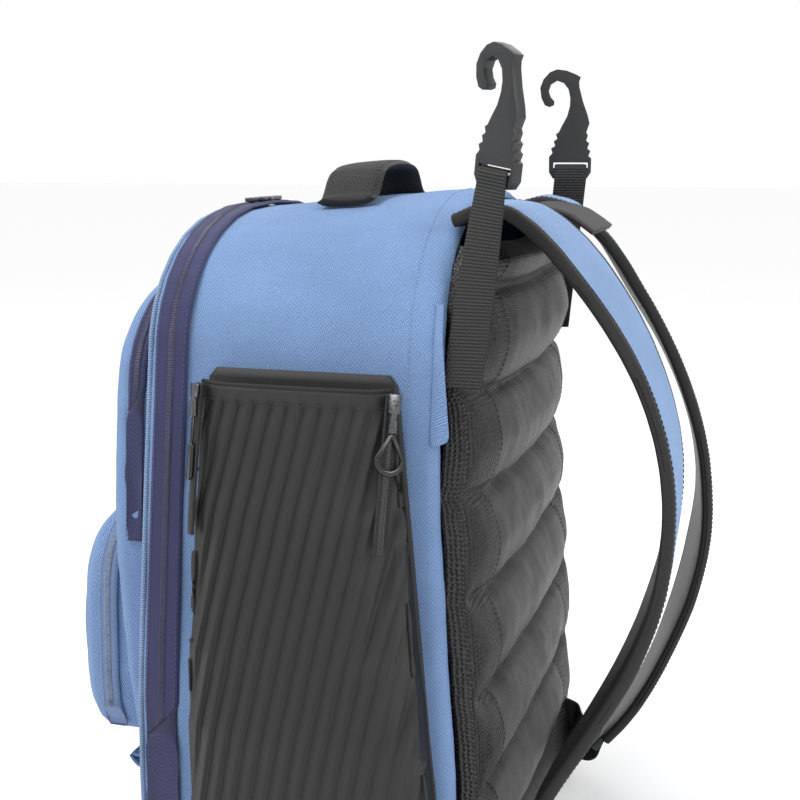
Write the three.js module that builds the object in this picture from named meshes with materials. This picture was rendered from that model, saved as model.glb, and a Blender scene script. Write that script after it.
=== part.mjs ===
// Baseball bat backpack, hung by its two fence hooks. Millimetres, +Z up.
// +X is the bag's right side, +Y the side that lies on the wearer's back.
import * as THREE from "three";

// Cloth and clearances
const gap = 0.3; // between pieces that are sewn or laid on each other
const clothWall = 2;
const webbingWidth = 25;
const webbingThickness = 1.8;

// Bag body, seen from the front
const bagHalfWidth = 176;
const shoulderHeight = 392; // where the straight sides turn into the round top
const frontTopHeight = 487; // top of the body at the main zip
const backTopHeight = 502; // top of the body at the back seam
const baseCornerRadius = 22;
const crownPower = 0.74; // below 1 the round top is fuller than an ellipse

// Bag body, front to back
const mainDepth = 178; // main zip to back seam, at the top
const zipLean = 9; // the main zip lies this much further forward at the base
const backLean = 24; // and the back seam this much further back
const backEdgeRadius = 10;
const frontShellDepth = 18;

// Front compartment, on the front shell
const compartmentHalfWidth = 152;
const compartmentBase = 60;
const compartmentShoulder = 372;
const compartmentTop = 446;
const compartmentDepth = 30;
const compartmentBaseRadius = 40;

// Lower front pocket
const pocketHalfWidth = 122;
const pocketBase = 92;
const pocketTop = 272;
const pocketDepth = 56;
const pocketPower = 0.5; // 1 is an ellipse, smaller is squarer

// Zips
const mainZipWidth = 23;
const mainZipEnd = 42; // height where the main zip ends on each side
const frontZipWidth = 13;
const frontZipEnd = 268;
const frontZipSetback = 5; // from the compartment's rear edge
const pocketZipWidth = 15;
const pocketZipEnd = 110;
const pocketZipSetback = 13;
const tapeThickness = 1.1;
const coilWidth = 5;
const coilHeight = 1.4;

// Back pad
const padThickness = 38; // at the top
const padBaseThickness = 11;
const padSideThickness = 12;
const padInset = 7; // from the body's side, at the top
const padBaseInset = 16;
const padBase = 14;
const padTop = 468;
const padEdgeRound = 90;
const lobePitch = 66;
const lobeDepth = 10;
const lobeFirstCrease = 52;
const creaseSag = 10; // a crease lies this much lower in the middle of the back

// Bat sleeves
const sleeveBase = 30;
const sleeveMouth = 384;
const sleeveBulge = 34;
const sleeveFrontSetback = 27; // from the main zip
const sleeveRearMarginTop = 24; // from the back seam, at the mouth
const sleeveRearMarginBase = 7;
const sleeveWall = 2.5;
const sleeveBackingRise = 6; // the backing shows above the lip
const pleatPitch = 10.8;
const pleatHeight = 1.7;
const pleatSlant = 0.2; // mm towards the back for each mm up
const sleeveZipLength = 96;
const sleeveZipWidth = 9;
const sleeveFrontZipInset = 3.5; // from the sleeve's front edge
const sleeveRearZipInset = 3; // from the sleeve's rear edge, at the mouth

// Shoulder straps
const strapWidth = 68;
const strapThickness = 9;
const strapReach = 150; // how far the straps stand out behind the back seam
const strapRootHeight = 484;
const strapEndHeight = 84;
const strapRootSpread = 80; // centre of a strap from the middle of the bag, at the top
const strapEndSpread = 112;
const yokeReach = 74;
const yokeThickness = 4;

// Grab handle
const handleHalfSpan = 64;
const handleWidth = 42;
const handleThickness = 7;
const handleRise = 17;
const handleCentre = -2; // behind the middle of the bag

// Fence hooks and their webbing
const hookSpread = 130;
const hookSetback = 118;
const hookBottomHeight = 505;
const hookHeight = 84;
const hookThickness = 8;
const hookSlotHeight = 4.2;
const hookSlotFloor = 8.4;
const hookTurnRight = 32;
const hookTurnLeft = -10;
const hookLeanRight = 8; // in its own plane, towards the wearer's side
const hookLeanLeft = 0;
const fenceWebbingEnd = 384;
const flapDrop = 36; // the cloth flap reaches this far below the webbing's end
const flapWidth = 5; // on the side of the body
const flapTip = 9; // behind the back seam
const flapTuck = 1.7; // its front edge follows the body's rounded rear edge inwards
const flapBend = 0.42; // from this share of its width on it lies straight

// Lower strap ends
const ladderLockWidth = 36;
const ladderLockHeight = 27;
const ladderLockThickness = 5;
const wingHeightSide = 46;
const wingHeightTip = 26;
const wingThickness = 3;
const wingLevel = 34;

// Where the bag hangs: midway between the bights of the two hooks
const bightSetback = 11; // of the hook's round top, in front of its foot
const bightShare = 0.9; // of the hook's height
const hangSetback = hookSetback - bightSetback;
const hangHeight = hookBottomHeight + hookHeight * bightShare;

// Materials
function finish(color, roughness, metalness = 0) {
  return new THREE.MeshStandardMaterial({ color, roughness, metalness });
}
const blueWeave = () => finish("#8fb2da", 0.85);
const navyTape = () => finish("#45477a", 0.8);
const paleTape = () => finish("#8fa5c9", 0.8);
const blackMesh = () => finish("#242424", 0.9);
const neoprene = () => finish("#2e2f31", 0.75);
const blackWebbing = () => finish("#1b1b1b", 0.8);
const blackPlastic = () => finish("#2f3336", 0.45);
const darkMetal = () => finish("#3c3d40", 0.35, 0.9);

// Geometry from triangles; corners that meet are one vertex, and faces are turned to point out
function closedGeometry(triangles) {
  const positions = [];
  let volume = 0;
  for (const [a, b, c] of triangles) {
    const flat = a.distanceTo(b) < 1e-4 || b.distanceTo(c) < 1e-4 || c.distanceTo(a) < 1e-4;
    if (flat) continue;
    volume += a.dot(new THREE.Vector3().crossVectors(b, c));
    positions.push([a, b, c]);
  }
  const values = positions.flatMap(([a, b, c]) => (volume < 0 ? [a, c, b] : [a, b, c]));
  const geometry = new THREE.BufferGeometry();
  const flatValues = values.flatMap((p) => [p.x, p.y, p.z]);
  geometry.setAttribute("position", new THREE.Float32BufferAttribute(flatValues, 3));
  return geometry;
}

// Triangles that fill a ring from its centre
function fanned(ring) {
  const centre = new THREE.Vector3();
  ring.forEach((p) => centre.addScaledVector(p, 1 / ring.length));
  return ring.map((p, k) => [centre, p, ring[(k + 1) % ring.length]]);
}

// Triangles that fill an outline by level rows, from each point across to its mirror point
function inRows(ring) {
  const last = ring.length - 1;
  return Array.from({ length: last / 2 }, (_, k) => [
    [ring[k], ring[k + 1], ring[last - k]],
    [ring[k + 1], ring[last - k - 1], ring[last - k]],
  ]).flat();
}

// Closed body through rings of points
function loft(rings, fill = fanned) {
  const triangles = fill(rings[0]).map(([a, b, c]) => [a, c, b]);
  const count = rings[0].length;
  for (let r = 0; r + 1 < rings.length; r += 1) {
    for (let k = 0; k < count; k += 1) {
      const next = (k + 1) % count;
      triangles.push([rings[r][k], rings[r][next], rings[r + 1][next]]);
      triangles.push([rings[r][k], rings[r + 1][next], rings[r + 1][k]]);
    }
  }
  return closedGeometry([...triangles, ...fill(rings[rings.length - 1])]);
}

// Band along stations { centre, side, face }: section lists [along side, along face] offsets
function ribbon(stations, section) {
  const rings = stations.map(({ centre, side, face, width = 1 }) =>
    section.map(([a, b]) =>
      centre.clone().addScaledVector(side, a * width).addScaledVector(face, b),
    ),
  );
  return loft(rings);
}

// Stations along a smooth curve; side(t) gives the direction of the band's width
function stationsAlong(points, steps, side, width = () => 1) {
  const curve = new THREE.CatmullRomCurve3(points, false, "centripetal");
  return Array.from({ length: steps + 1 }, (_, k) => {
    const t = k / steps;
    const tangent = curve.getTangentAt(t);
    const across = side(t).clone();
    across.addScaledVector(tangent, -across.dot(tangent)).normalize();
    const face = new THREE.Vector3().crossVectors(tangent, across).normalize();
    return { centre: curve.getPointAt(t), side: across, face, width: width(t) };
  });
}

// Flat section of a band, its corners cut by a chamfer
function bandSection(width, thickness, chamfer = 0) {
  const w = width / 2;
  const h = thickness / 2;
  if (chamfer === 0) return [[-w, -h], [w, -h], [w, h], [-w, h]];
  const c = Math.min(chamfer, h * 0.9);
  return [
    [-w, -h + c], [-w + c, -h], [w - c, -h], [w, -h + c],
    [w, h - c], [w - c, h], [-w + c, h], [-w, h - c],
  ];
}

const bag = new THREE.Group();
function add(name, geometry, material) {
  const mesh = new THREE.Mesh(geometry, material);
  mesh.name = name;
  bag.add(mesh);
  return mesh;
}

const lerp = THREE.MathUtils.lerp;
const clamp = THREE.MathUtils.clamp;
const vec = (x, y, z) => new THREE.Vector3(x, y, z);

// Body outline, seen from the front

// Half-width up the side: both are shares, of the shoulder height and of the half-width
const bodySides = [
  { height: 0.056, width: 0.972 },
  { height: 0.27, width: 1.0 },
  { height: 0.42, width: 1.0 },
  { height: 0.545, width: 0.977 },
  { height: 0.775, width: 0.926 },
  { height: 0.905, width: 0.892 },
  { height: 1.0, width: 0.869 },
];
// The front compartment narrows towards its base, behind the lower pocket
const compartmentSides = [
  { height: 0.25, width: 0.8 },
  { height: 0.45, width: 0.93 },
  { height: 0.68, width: 1.0 },
  { height: 0.87, width: 0.99 },
  { height: 1.0, width: 0.95 },
];

const body = {
  halfWidth: bagHalfWidth,
  base: 0,
  shoulder: shoulderHeight,
  radius: baseCornerRadius,
  sides: bodySides,
};
const compartment = {
  halfWidth: compartmentHalfWidth,
  base: compartmentBase,
  shoulder: compartmentShoulder,
  radius: compartmentBaseRadius,
  sides: compartmentSides,
};
const cornerSteps = 4;
const crownSteps = 8;

// Right half of an outline, from the base edge over the side to the middle of the top
function halfOutline(shape, top) {
  const points = [];
  const lowest = shape.sides[0];
  const sideX = shape.halfWidth * lowest.width;
  for (let k = 0; k <= cornerSteps; k += 1) {
    const angle = ((k / cornerSteps) * Math.PI) / 2;
    const x = sideX - shape.radius * (1 - Math.sin(angle));
    points.push([x, shape.base + shape.radius * (1 - Math.cos(angle))]);
  }
  for (const row of shape.sides) {
    const z = shape.shoulder * row.height;
    if (z > points[points.length - 1][1] + 1) points.push([shape.halfWidth * row.width, z]);
  }
  const shoulderX = shape.halfWidth * shape.sides[shape.sides.length - 1].width;
  for (let k = 1; k <= crownSteps; k += 1) {
    const angle = ((k / crownSteps) * Math.PI) / 2;
    const x = k === crownSteps ? 0 : shoulderX * Math.cos(angle) ** crownPower;
    points.push([x, shape.shoulder + (top - shape.shoulder) * Math.sin(angle)]);
  }
  return points;
}

function fullOutline(shape, top) {
  const right = halfOutline(shape, top);
  const left = right.slice(0, -1).reverse().map(([x, z]) => [-x, z]);
  return [...right, ...left];
}

// Outline moved outwards by a distance, or inwards by a negative one
function offsetOutline(points, distance) {
  const count = points.length;
  return points.map((p, k) => {
    const before = points[(k + count - 1) % count];
    const after = points[(k + 1) % count];
    const inward = new THREE.Vector2(p[0] - before[0], p[1] - before[1]).normalize();
    const outward = new THREE.Vector2(after[0] - p[0], after[1] - p[1]).normalize();
    const normalA = new THREE.Vector2(inward.y, -inward.x);
    const normalB = new THREE.Vector2(outward.y, -outward.x);
    const middle = normalA.clone().add(normalB).normalize();
    const reach = distance / Math.max(middle.dot(normalA), 0.5);
    return [p[0] + middle.x * reach, p[1] + middle.y * reach];
  });
}

// Planes of the main zip and of the back seam
const zipY = (z) => -mainDepth / 2 - zipLean * (1 - z / backTopHeight);
// The back seam, hollow behind the shoulders: height as a share of the shoulder height
const backProfile = [
  { height: 0, lean: 1 },
  { height: 0.056, lean: 0.95 },
  { height: 0.27, lean: 0.76 },
  { height: 0.42, lean: 0.62 },
  { height: 0.545, lean: 0.42 },
  { height: 0.775, lean: 0.1 },
  { height: 0.905, lean: 0.02 },
  { height: 1.0, lean: 0.04 },
  { height: 1.29, lean: 0 },
];
function tableValue(rows, key, share) {
  const at = clamp(share, rows[0].height, rows[rows.length - 1].height);
  for (let k = 1; k < rows.length; k += 1) {
    if (at > rows[k].height) continue;
    const t = (at - rows[k - 1].height) / (rows[k].height - rows[k - 1].height);
    return lerp(rows[k - 1][key], rows[k][key], t);
  }
  return rows[rows.length - 1][key];
}
const backY = (z) =>
  mainDepth / 2 + backLean * tableValue(backProfile, "lean", z / shoulderHeight);

// Ring of the main shell: share 0 is at the main zip, 1 at the back seam
function mainRing(share, offset) {
  const outline = offsetOutline(fullOutline(body, lerp(frontTopHeight, backTopHeight, share)), offset);
  return outline.map(([x, z]) => vec(x, lerp(zipY(z), backY(z), share), z));
}

// Ring in front of the main zip, a depth forward of it
function frontRing(shape, top, depth, offset) {
  const outline = offsetOutline(fullOutline(shape, top), offset);
  return outline.map(([x, z]) => vec(x, zipY(z) - depth, z));
}

// Half-width of the body's straight side at a height
function sideX(z) {
  const rows = body.sides.map((row) => [shoulderHeight * row.height, bagHalfWidth * row.width]);
  if (z <= rows[0][0]) return rows[0][1];
  for (let k = 1; k < rows.length; k += 1) {
    const [z0, x0] = rows[k - 1];
    const [z1, x1] = rows[k];
    if (z <= z1) return lerp(x0, x1, (z - z0) / (z1 - z0));
  }
  return rows[rows.length - 1][1];
}

// Height of the round top at a place on it
function crownZ(x, y) {
  const share = clamp((y - zipY(backTopHeight)) / mainDepth, 0, 1);
  const top = lerp(frontTopHeight, backTopHeight, share);
  const angle = Math.acos(Math.min(Math.abs(x) / sideX(shoulderHeight), 1) ** (1 / crownPower));
  return shoulderHeight + (top - shoulderHeight) * Math.sin(angle);
}

// Half-width of the whole body at a height, near the back seam
function outlineX(z) {
  if (z <= shoulderHeight) return sideX(z);
  const angle = Math.asin(Math.min((z - shoulderHeight) / (backTopHeight - shoulderHeight), 1));
  return sideX(shoulderHeight) * Math.cos(angle) ** crownPower;
}

// Main shell: gusset, base and back wall, open at the main zip
const seamShare = gap / 2 / mainDepth;
const wallShare = clothWall / mainDepth;
const edgeShare = backEdgeRadius / mainDepth;
add(
  "main_shell",
  loft([
    mainRing(1, -backEdgeRadius * 0.75),
    mainRing(1 - edgeShare * 0.4, -backEdgeRadius * 0.25),
    mainRing(1 - edgeShare, 0),
    mainRing(0.6, 0),
    mainRing(0.3, 0),
    mainRing(seamShare, 0),
    mainRing(seamShare, -clothWall),
    mainRing(0.5, -clothWall),
    mainRing(1 - edgeShare - wallShare, -clothWall),
    mainRing(1 - wallShare, -backEdgeRadius),
  ], inRows),
  blueWeave(),
);

// Front shell: the strip in front of the main zip and the front wall behind the compartment
const mainZipHalf = mainZipWidth / 2;
const frontEdgeInset = 6; // the front wall's rounded edge comes in this far
const frontSections = [
  { depth: frontShellDepth, inset: frontEdgeInset },
  { depth: frontShellDepth - frontEdgeInset / 3, inset: frontEdgeInset / 3 },
  { depth: mainZipHalf + gap * 3, inset: 0 },
  { depth: gap / 2, inset: 0 },
  { depth: gap / 2, inset: clothWall },
  { depth: mainZipHalf + gap * 3, inset: clothWall },
  { depth: frontShellDepth - clothWall, inset: frontEdgeInset + clothWall },
];
add(
  "front_shell",
  loft(frontSections.map(({ depth, inset }) => frontRing(body, frontTopHeight, depth, -inset))),
  blueWeave(),
);

// Front compartment: a shallow tub on the front wall
const compartmentRear = frontShellDepth + gap;
const compartmentFace = compartmentRear + compartmentDepth;
const compartmentFold = 8; // depth of its rounded front edge
const compartmentSections = [
  { depth: compartmentFace, inset: compartmentFold },
  { depth: compartmentFace - compartmentFold / 4, inset: compartmentFold * 0.4 },
  { depth: compartmentFace - compartmentFold, inset: 0 },
  { depth: compartmentRear, inset: 0 },
  { depth: compartmentRear, inset: clothWall },
  { depth: compartmentFace - compartmentFold, inset: clothWall },
  { depth: compartmentFace - clothWall, inset: compartmentFold + clothWall / 2 },
];
add(
  "front_compartment",
  loft(
    compartmentSections.map(({ depth, inset }) =>
      frontRing(compartment, compartmentTop, depth, -inset),
    ),
  ),
  blueWeave(),
);

// Lower front pocket: a rounded tub with a crowned face, open against the compartment
const pocketSteps = 36;
const pocketMiddle = (pocketBase + pocketTop) / 2;
function pocketOutline(offset) {
  const halfHeight = (pocketTop - pocketBase) / 2 + offset;
  return Array.from({ length: pocketSteps }, (_, k) => {
    const angle = ((k + 0.5) / pocketSteps) * Math.PI * 2;
    const c = Math.cos(angle);
    const s = Math.sin(angle);
    const x = (pocketHalfWidth + offset) * Math.sign(c) * Math.abs(c) ** pocketPower;
    return [x, pocketMiddle + halfHeight * Math.sign(s) * Math.abs(s) ** pocketPower];
  });
}
const pocketRear = compartmentFace + gap;
function pocketRing(depth, inset) {
  return pocketOutline(-inset).map(([x, z]) => vec(x, zipY(z) - pocketRear - depth, z));
}
// Shares of the pocket's depth and of its crown; face and side say where the wall's thickness goes
const pocketCrown = 52; // the face rounds off over this much of its edge
const pocketSections = [
  { depth: 1, crown: 1, face: 1, side: 0 },
  { depth: 0.935, crown: 0.46, face: 1, side: 0.6 },
  { depth: 0.785, crown: 0.155, face: 0.6, side: 1 },
  { depth: 0.62, crown: 0, face: 0, side: 1 },
  { depth: 0, crown: 0, face: 0, side: 1 },
];
const pocketOuter = pocketSections.map((row) =>
  pocketRing(pocketDepth * row.depth, pocketCrown * row.crown),
);
const pocketInner = pocketSections.map((row) =>
  pocketRing(
    pocketDepth * row.depth - clothWall * row.face,
    pocketCrown * row.crown + clothWall * row.side,
  ),
);
add("lower_pocket", loft([...pocketOuter, ...pocketInner.reverse()]), blueWeave());

// Zip bands lie on the cloth: tape with the coil as a ridge along its middle
function zipSection(width) {
  const w = width / 2;
  const c = coilWidth / 2;
  const low = gap;
  const tape = gap + tapeThickness;
  const high = tape + coilHeight;
  return [
    [-w, low], [w, low], [w, tape], [c, tape],
    [c * 0.6, high], [-c * 0.6, high], [-c, tape], [-w, tape],
  ];
}

// Band round an outline: place(index, across, out) gives a point of it
function zipBand(indices, width, place) {
  return loft(indices.map((index) => zipSection(width).map(([a, out]) => place(index, a, out))));
}

const range = (from, to) => Array.from({ length: to - from + 1 }, (_, k) => from + k);

// Outline cut off at a height on both sides, its ends moved to that height
function openOutline(points, endHeight) {
  const kept = [];
  const middle = (points.length - 1) / 2;
  for (let k = 0; k <= middle; k += 1) {
    const [x, z] = points[k];
    const [nextX, nextZ] = points[Math.min(k + 1, middle)];
    if (z >= endHeight) kept.push([x, z]);
    else if (nextZ > endHeight) {
      kept.push([lerp(x, nextX, (endHeight - z) / (nextZ - z)), endHeight]);
    }
  }
  const left = kept.slice(0, -1).reverse().map(([x, z]) => [-x, z]);
  return [...kept, ...left];
}

// Main zip, over both shells from low on one side to low on the other
function mainZipPoint(index, across, out) {
  const share = Math.max(across, 0) / mainDepth;
  const top = lerp(frontTopHeight, backTopHeight, share);
  const outline = openOutline(offsetOutline(fullOutline(body, top), out), mainZipEnd);
  const [x, z] = outline[index];
  const y = across < 0 ? zipY(z) + across : lerp(zipY(z), backY(z), share);
  return vec(x, y, z);
}
const mainZipCount = openOutline(fullOutline(body, frontTopHeight), mainZipEnd).length;
add("main_zip", zipBand(range(0, mainZipCount - 1), mainZipWidth, mainZipPoint), navyTape());

// Front compartment's zip
const frontZipDepth = compartmentRear + frontZipSetback + frontZipWidth / 2;
function frontZipPoint(index, across, out) {
  const outline = openOutline(
    offsetOutline(fullOutline(compartment, compartmentTop), out),
    frontZipEnd,
  );
  const [x, z] = outline[index];
  return vec(x, zipY(z) - frontZipDepth + across, z);
}
const frontZipCount = openOutline(fullOutline(compartment, compartmentTop), frontZipEnd).length;
add("front_zip", zipBand(range(0, frontZipCount - 1), frontZipWidth, frontZipPoint), navyTape());

// Lower pocket's zip, from low on one side over the top to low on the other
const pocketZipDepth = pocketRear + pocketZipSetback + pocketZipWidth / 2;
function pocketZipPoint(index, across, out) {
  const [x, z] = pocketOutline(out)[index];
  return vec(x, zipY(z) - pocketZipDepth + across, z);
}
const pocketStart = pocketSteps * 0.75;
const pocketZipIndices = range(0, pocketSteps - 1)
  .map((k) => (k + pocketStart) % pocketSteps)
  .filter((k) => pocketOutline(0)[k][1] > pocketZipEnd);
add("pocket_zip", zipBand(pocketZipIndices, pocketZipWidth, pocketZipPoint), paleTape());

// Zip slider with its pull, an outline in x and y lying on the coil, z up from it
const sliderHalfWidth = 4.5;
const sliderThickness = 3;
const pullNeck = 1.8; // half-width where the pull leaves the slider
const pullEnd = 3; // half-width at its end
function sliderGeometry(length, pullLength) {
  const shape = new THREE.Shape();
  const shoulder = sliderHalfWidth * 0.75;
  shape.moveTo(-sliderHalfWidth, 0);
  shape.lineTo(sliderHalfWidth, 0);
  shape.lineTo(shoulder, length);
  shape.lineTo(pullNeck, length);
  shape.lineTo(pullEnd, length + pullLength);
  shape.lineTo(-pullEnd, length + pullLength);
  shape.lineTo(-pullNeck, length);
  shape.lineTo(-shoulder, length);
  shape.closePath();
  return new THREE.ExtrudeGeometry(shape, { depth: sliderThickness, bevelEnabled: false });
}

// Places a flat piece: its y axis along `up`, its z axis along `out`
function place(mesh, origin, up, out) {
  const z = out.clone().normalize();
  const y = up.clone().addScaledVector(z, -up.dot(z)).normalize();
  const x = new THREE.Vector3().crossVectors(y, z);
  mesh.matrixAutoUpdate = false;
  mesh.matrix.makeBasis(x, y, z).setPosition(origin);
  mesh.matrixWorldNeedsUpdate = true;
  return mesh;
}

const coilTop = 2 * gap + tapeThickness + coilHeight;
const sliderLength = 11;
const zipPullLength = 16;
const sliderSetOff = 1.5; // of each main slider from the middle of the top
for (const side of [1, -1]) {
  const name = side > 0 ? "main_slider_right" : "main_slider_left";
  const slider = add(name, sliderGeometry(sliderLength, zipPullLength), blackPlastic());
  const origin = vec(side * sliderSetOff, zipY(frontTopHeight), frontTopHeight + coilTop);
  place(slider, origin, vec(side, 0, 0), vec(0, 0, 1));
}
const frontSliderY = zipY(compartmentTop) - frontZipDepth;
place(
  add("front_slider", sliderGeometry(sliderLength, zipPullLength), blackPlastic()),
  vec(0, frontSliderY, compartmentTop + coilTop),
  vec(1, 0, 0),
  vec(0, 0, 1),
);
const pocketSliderY = zipY(pocketTop) - pocketZipDepth;
place(
  add("pocket_slider", sliderGeometry(sliderLength, zipPullLength), blackPlastic()),
  vec(0, pocketSliderY, pocketTop + coilTop),
  vec(-1, 0, 0),
  vec(0, 0, 1),
);

// Cloth loop under the lower pocket's corner: shares of its reach and of its drop
const tabWidth = 18;
const tabReach = 16;
const tabDrop = 13;
const tabThickness = 2.4;
const tabX = pocketHalfWidth * 0.8;
const tabZ = pocketBase - 3;
const tabY = zipY(tabZ) - pocketRear;
const tabFold = [
  { reach: 0.06, drop: 0 },
  { reach: 0.56, drop: 0.23 },
  { reach: 1, drop: 0.08 },
  { reach: 0.62, drop: 0.77 },
  { reach: 0.06, drop: 1 },
];
const tabPath = tabFold.map(({ reach, drop }) =>
  vec(tabX, tabY - tabReach * reach, tabZ - tabDrop * drop),
);
add(
  "pocket_tab",
  ribbon(stationsAlong(tabPath, 8, () => vec(1, 0, 0)), bandSection(tabWidth, tabThickness)),
  blueWeave(),
);

// Back pad: lobes one above the other, their creases across the back
const padColumns = 9;
const creaseRows = [0, 0.1, 0.28, 0.5, 0.72, 0.9]; // shares of a lobe
function padSurface(x, z, halfWidth) {
  const fromEdge = clamp((Math.abs(x) - (halfWidth - padEdgeRound)) / padEdgeRound, 0, 1);
  const round = Math.sqrt(1 - fromEdge * fromEdge);
  const sag = creaseSag * (1 - (x / halfWidth) ** 2);
  const phase = (((z + sag - lobeFirstCrease) / lobePitch) % 1 + 1) % 1;
  const swell = Math.sqrt(Math.sin(Math.PI * phase));
  const full = lerp(padBaseThickness, padThickness, padShare(z)) - lobeDepth * (1 - swell) * round;
  const edge = Math.min(padSideThickness, full);
  return edge + (full - edge) * round;
}
const padShare = (z) => clamp((z - padBase) / (padTop - padBase), 0, 1);
const padHalfWidth = (z) => outlineX(z) - lerp(padBaseInset, padInset, Math.min(padShare(z) * 2, 1));
function padRing(z, share) {
  const halfWidth = padHalfWidth(z);
  const outer = Array.from({ length: padColumns * 2 + 1 }, (_, k) => {
    const along = (k - padColumns) / padColumns;
    const x = halfWidth * Math.sin((along * Math.PI) / 2);
    return vec(x, backY(z) + gap + padSurface(x, z, halfWidth) * share, z);
  });
  const inner = [vec(-halfWidth, backY(z) + gap, z), vec(halfWidth, backY(z) + gap, z)];
  return [...outer, inner[1], inner[0]];
}
const levelClearance = 4;
const padEndShare = 0.55; // thickness left at the pad's two ends
const padLevels = [padBase];
const lobes = Math.ceil((padTop - lobeFirstCrease) / lobePitch);
for (let lobe = -1; lobe < lobes; lobe += 1) {
  for (const row of creaseRows) {
    const z = lobeFirstCrease - creaseSag * 0.8 + (lobe + row) * lobePitch;
    if (z > padBase + levelClearance && z < padTop - levelClearance) padLevels.push(z);
  }
}
padLevels.push(padTop);
add(
  "back_pad",
  loft(padLevels.map((z) => padRing(z, z === padBase || z === padTop ? padEndShare : 1))),
  blackMesh(),
);

// Bat sleeves: pleated neoprene on a backing, open at the mouth
const sleeveFront = (z) => zipY(z) + sleeveFrontSetback;
const sleeveRear = (z) => {
  const share = (z / sleeveMouth) ** 1.6;
  return backY(z) - lerp(sleeveRearMarginBase, sleeveRearMarginTop, share);
};
// How far the sleeve stands out at a height, as a share of its bulge
const sleeveSwell = [
  { height: 0, bulge: 0.62 },
  { height: 0.18, bulge: 0.92 },
  { height: 0.55, bulge: 1.0 },
  { height: 0.85, bulge: 0.85 },
  { height: 1, bulge: 0.68 },
];
function sleeveBulgeAt(z) {
  const share = (z - sleeveBase) / (sleeveMouth - sleeveBase);
  return sleeveBulge * tableValue(sleeveSwell, "bulge", share);
}
// Point of the sleeve's cross-section: share 0 at its front edge, 1 at its rear edge
const sleevePower = 0.45;
function sleevePoint(z, share, inset) {
  const front = sleeveFront(z) + inset;
  const rear = sleeveRear(z) - inset;
  const angle = Math.PI * share;
  const c = Math.cos(angle);
  const s = Math.sin(angle);
  const y = (front + rear) / 2 - ((rear - front) / 2) * Math.sign(c) * Math.abs(c) ** sleevePower;
  const out = (sleeveBulgeAt(z) - inset) * Math.abs(s) ** sleevePower;
  return { y, out };
}
// Share of the cross-section where a y lies
function sleeveShare(z, y) {
  const front = sleeveFront(z);
  const rear = sleeveRear(z);
  const along = clamp(((y - (front + rear) / 2) / ((rear - front) / 2)), -1, 1);
  const c = Math.sign(along) * Math.abs(along) ** (1 / sleevePower);
  return Math.acos(-c) / Math.PI;
}
const sleeveBacking = 2;
const pleatRun = mainDepth + zipLean + backLean + pleatSlant * (sleeveMouth - sleeveBase);
const pleatCount = Math.ceil(pleatRun / pleatPitch);
const pleatCrest = 0.82; // share of the pitch from a crease to the next crest
const sleeveEdge = 0.04; // share of the cross-section kept smooth at its two edges
function sleeveRing(side, z, inner, backingZ) {
  const inset = inner ? sleeveWall : 0;
  const base = sideX(z) + gap;
  const points = [];
  const start = sleeveFront(sleeveBase) - pleatSlant * (sleeveMouth - sleeveBase) - pleatPitch;
  for (let k = 0; k < pleatCount; k += 1) {
    for (const [offset, height] of [[0, 0], [pleatCrest, pleatHeight]]) {
      const wanted = start + (k + offset) * pleatPitch + pleatSlant * (z - sleeveBase);
      const share = sleeveShare(z, wanted);
      const snapped = clamp(share, sleeveEdge, 1 - sleeveEdge);
      const { y, out } = sleevePoint(z, snapped, inset);
      const relief = inner || snapped !== share ? 0 : height;
      points.push(vec(side * (base + Math.max(out, sleeveBacking) + relief), y, z));
    }
  }
  const low = inner ? sleeveBacking : 0;
  const rear = sleeveRear(z) - inset;
  const front = sleeveFront(z) + inset;
  points.push(vec(side * (base + low), rear, backingZ));
  points.push(vec(side * (base + low), front, backingZ));
  return points;
}
const sleeveLevels = [
  sleeveBase,
  sleeveBase + 12,
  ...bodySides.map((row) => shoulderHeight * row.height).filter(
    (z) => z > sleeveBase + 20 && z < sleeveMouth - 10,
  ),
  sleeveMouth,
];
function sleeveGeometry(side) {
  const outer = sleeveLevels.map((z) =>
    sleeveRing(side, z, false, z === sleeveMouth ? z + sleeveBackingRise : z),
  );
  const innerLevels = [...sleeveLevels].reverse().filter((z) => z !== sleeveBase);
  const inner = innerLevels.map((z) =>
    sleeveRing(side, z, true, z === sleeveMouth ? z + sleeveBackingRise : z),
  );
  return loft([...outer, ...inner]);
}
add("bat_sleeve_right", sleeveGeometry(1), neoprene());
add("bat_sleeve_left", sleeveGeometry(-1), neoprene());

// Zip strips on a sleeve: y(z) gives the line that the strip follows down from the mouth
function sleeveStations(side, line, lift) {
  const low = sleeveMouth - sleeveZipLength;
  const levels = [sleeveMouth - 2, ...[...sleeveLevels].reverse().filter((z) => z > low && z < sleeveMouth), low];
  return levels.map((z) => {
    const share = sleeveShare(z, line(z));
    const step = 0.02;
    const here = sleevePoint(z, share, 0);
    const before = sleevePoint(z, share - step, 0);
    const after = sleevePoint(z, share + step, 0);
    const along = vec(side * (after.out - before.out), after.y - before.y, 0).normalize();
    const face = vec(along.y, -along.x, 0).multiplyScalar(side);
    const base = sideX(z) + gap;
    const centre = vec(side * (base + here.out), here.y, z).addScaledVector(face, lift);
    return { centre, side: along, face };
  });
}
const stripThickness = tapeThickness + coilHeight;
const sliderLift = 0.3; // lets the slider pass the strip where that twists
const frontZipLine = (z) => sleeveFront(z) + sleeveFrontZipInset;
const rearZipLine = () => sleeveRear(sleeveMouth) - sleeveRearZipInset;
const sleevePullLength = 12;
const pullCordLength = 16;
const pullTabLength = 24;
const pullTabCorner = 2;
const pullWidth = 6;
const pullThickness = 2.2;
const ringRadius = 10.5;
const ringBar = 3.4;
const cordBar = 1.6;
const ringDrop = 15;

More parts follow.
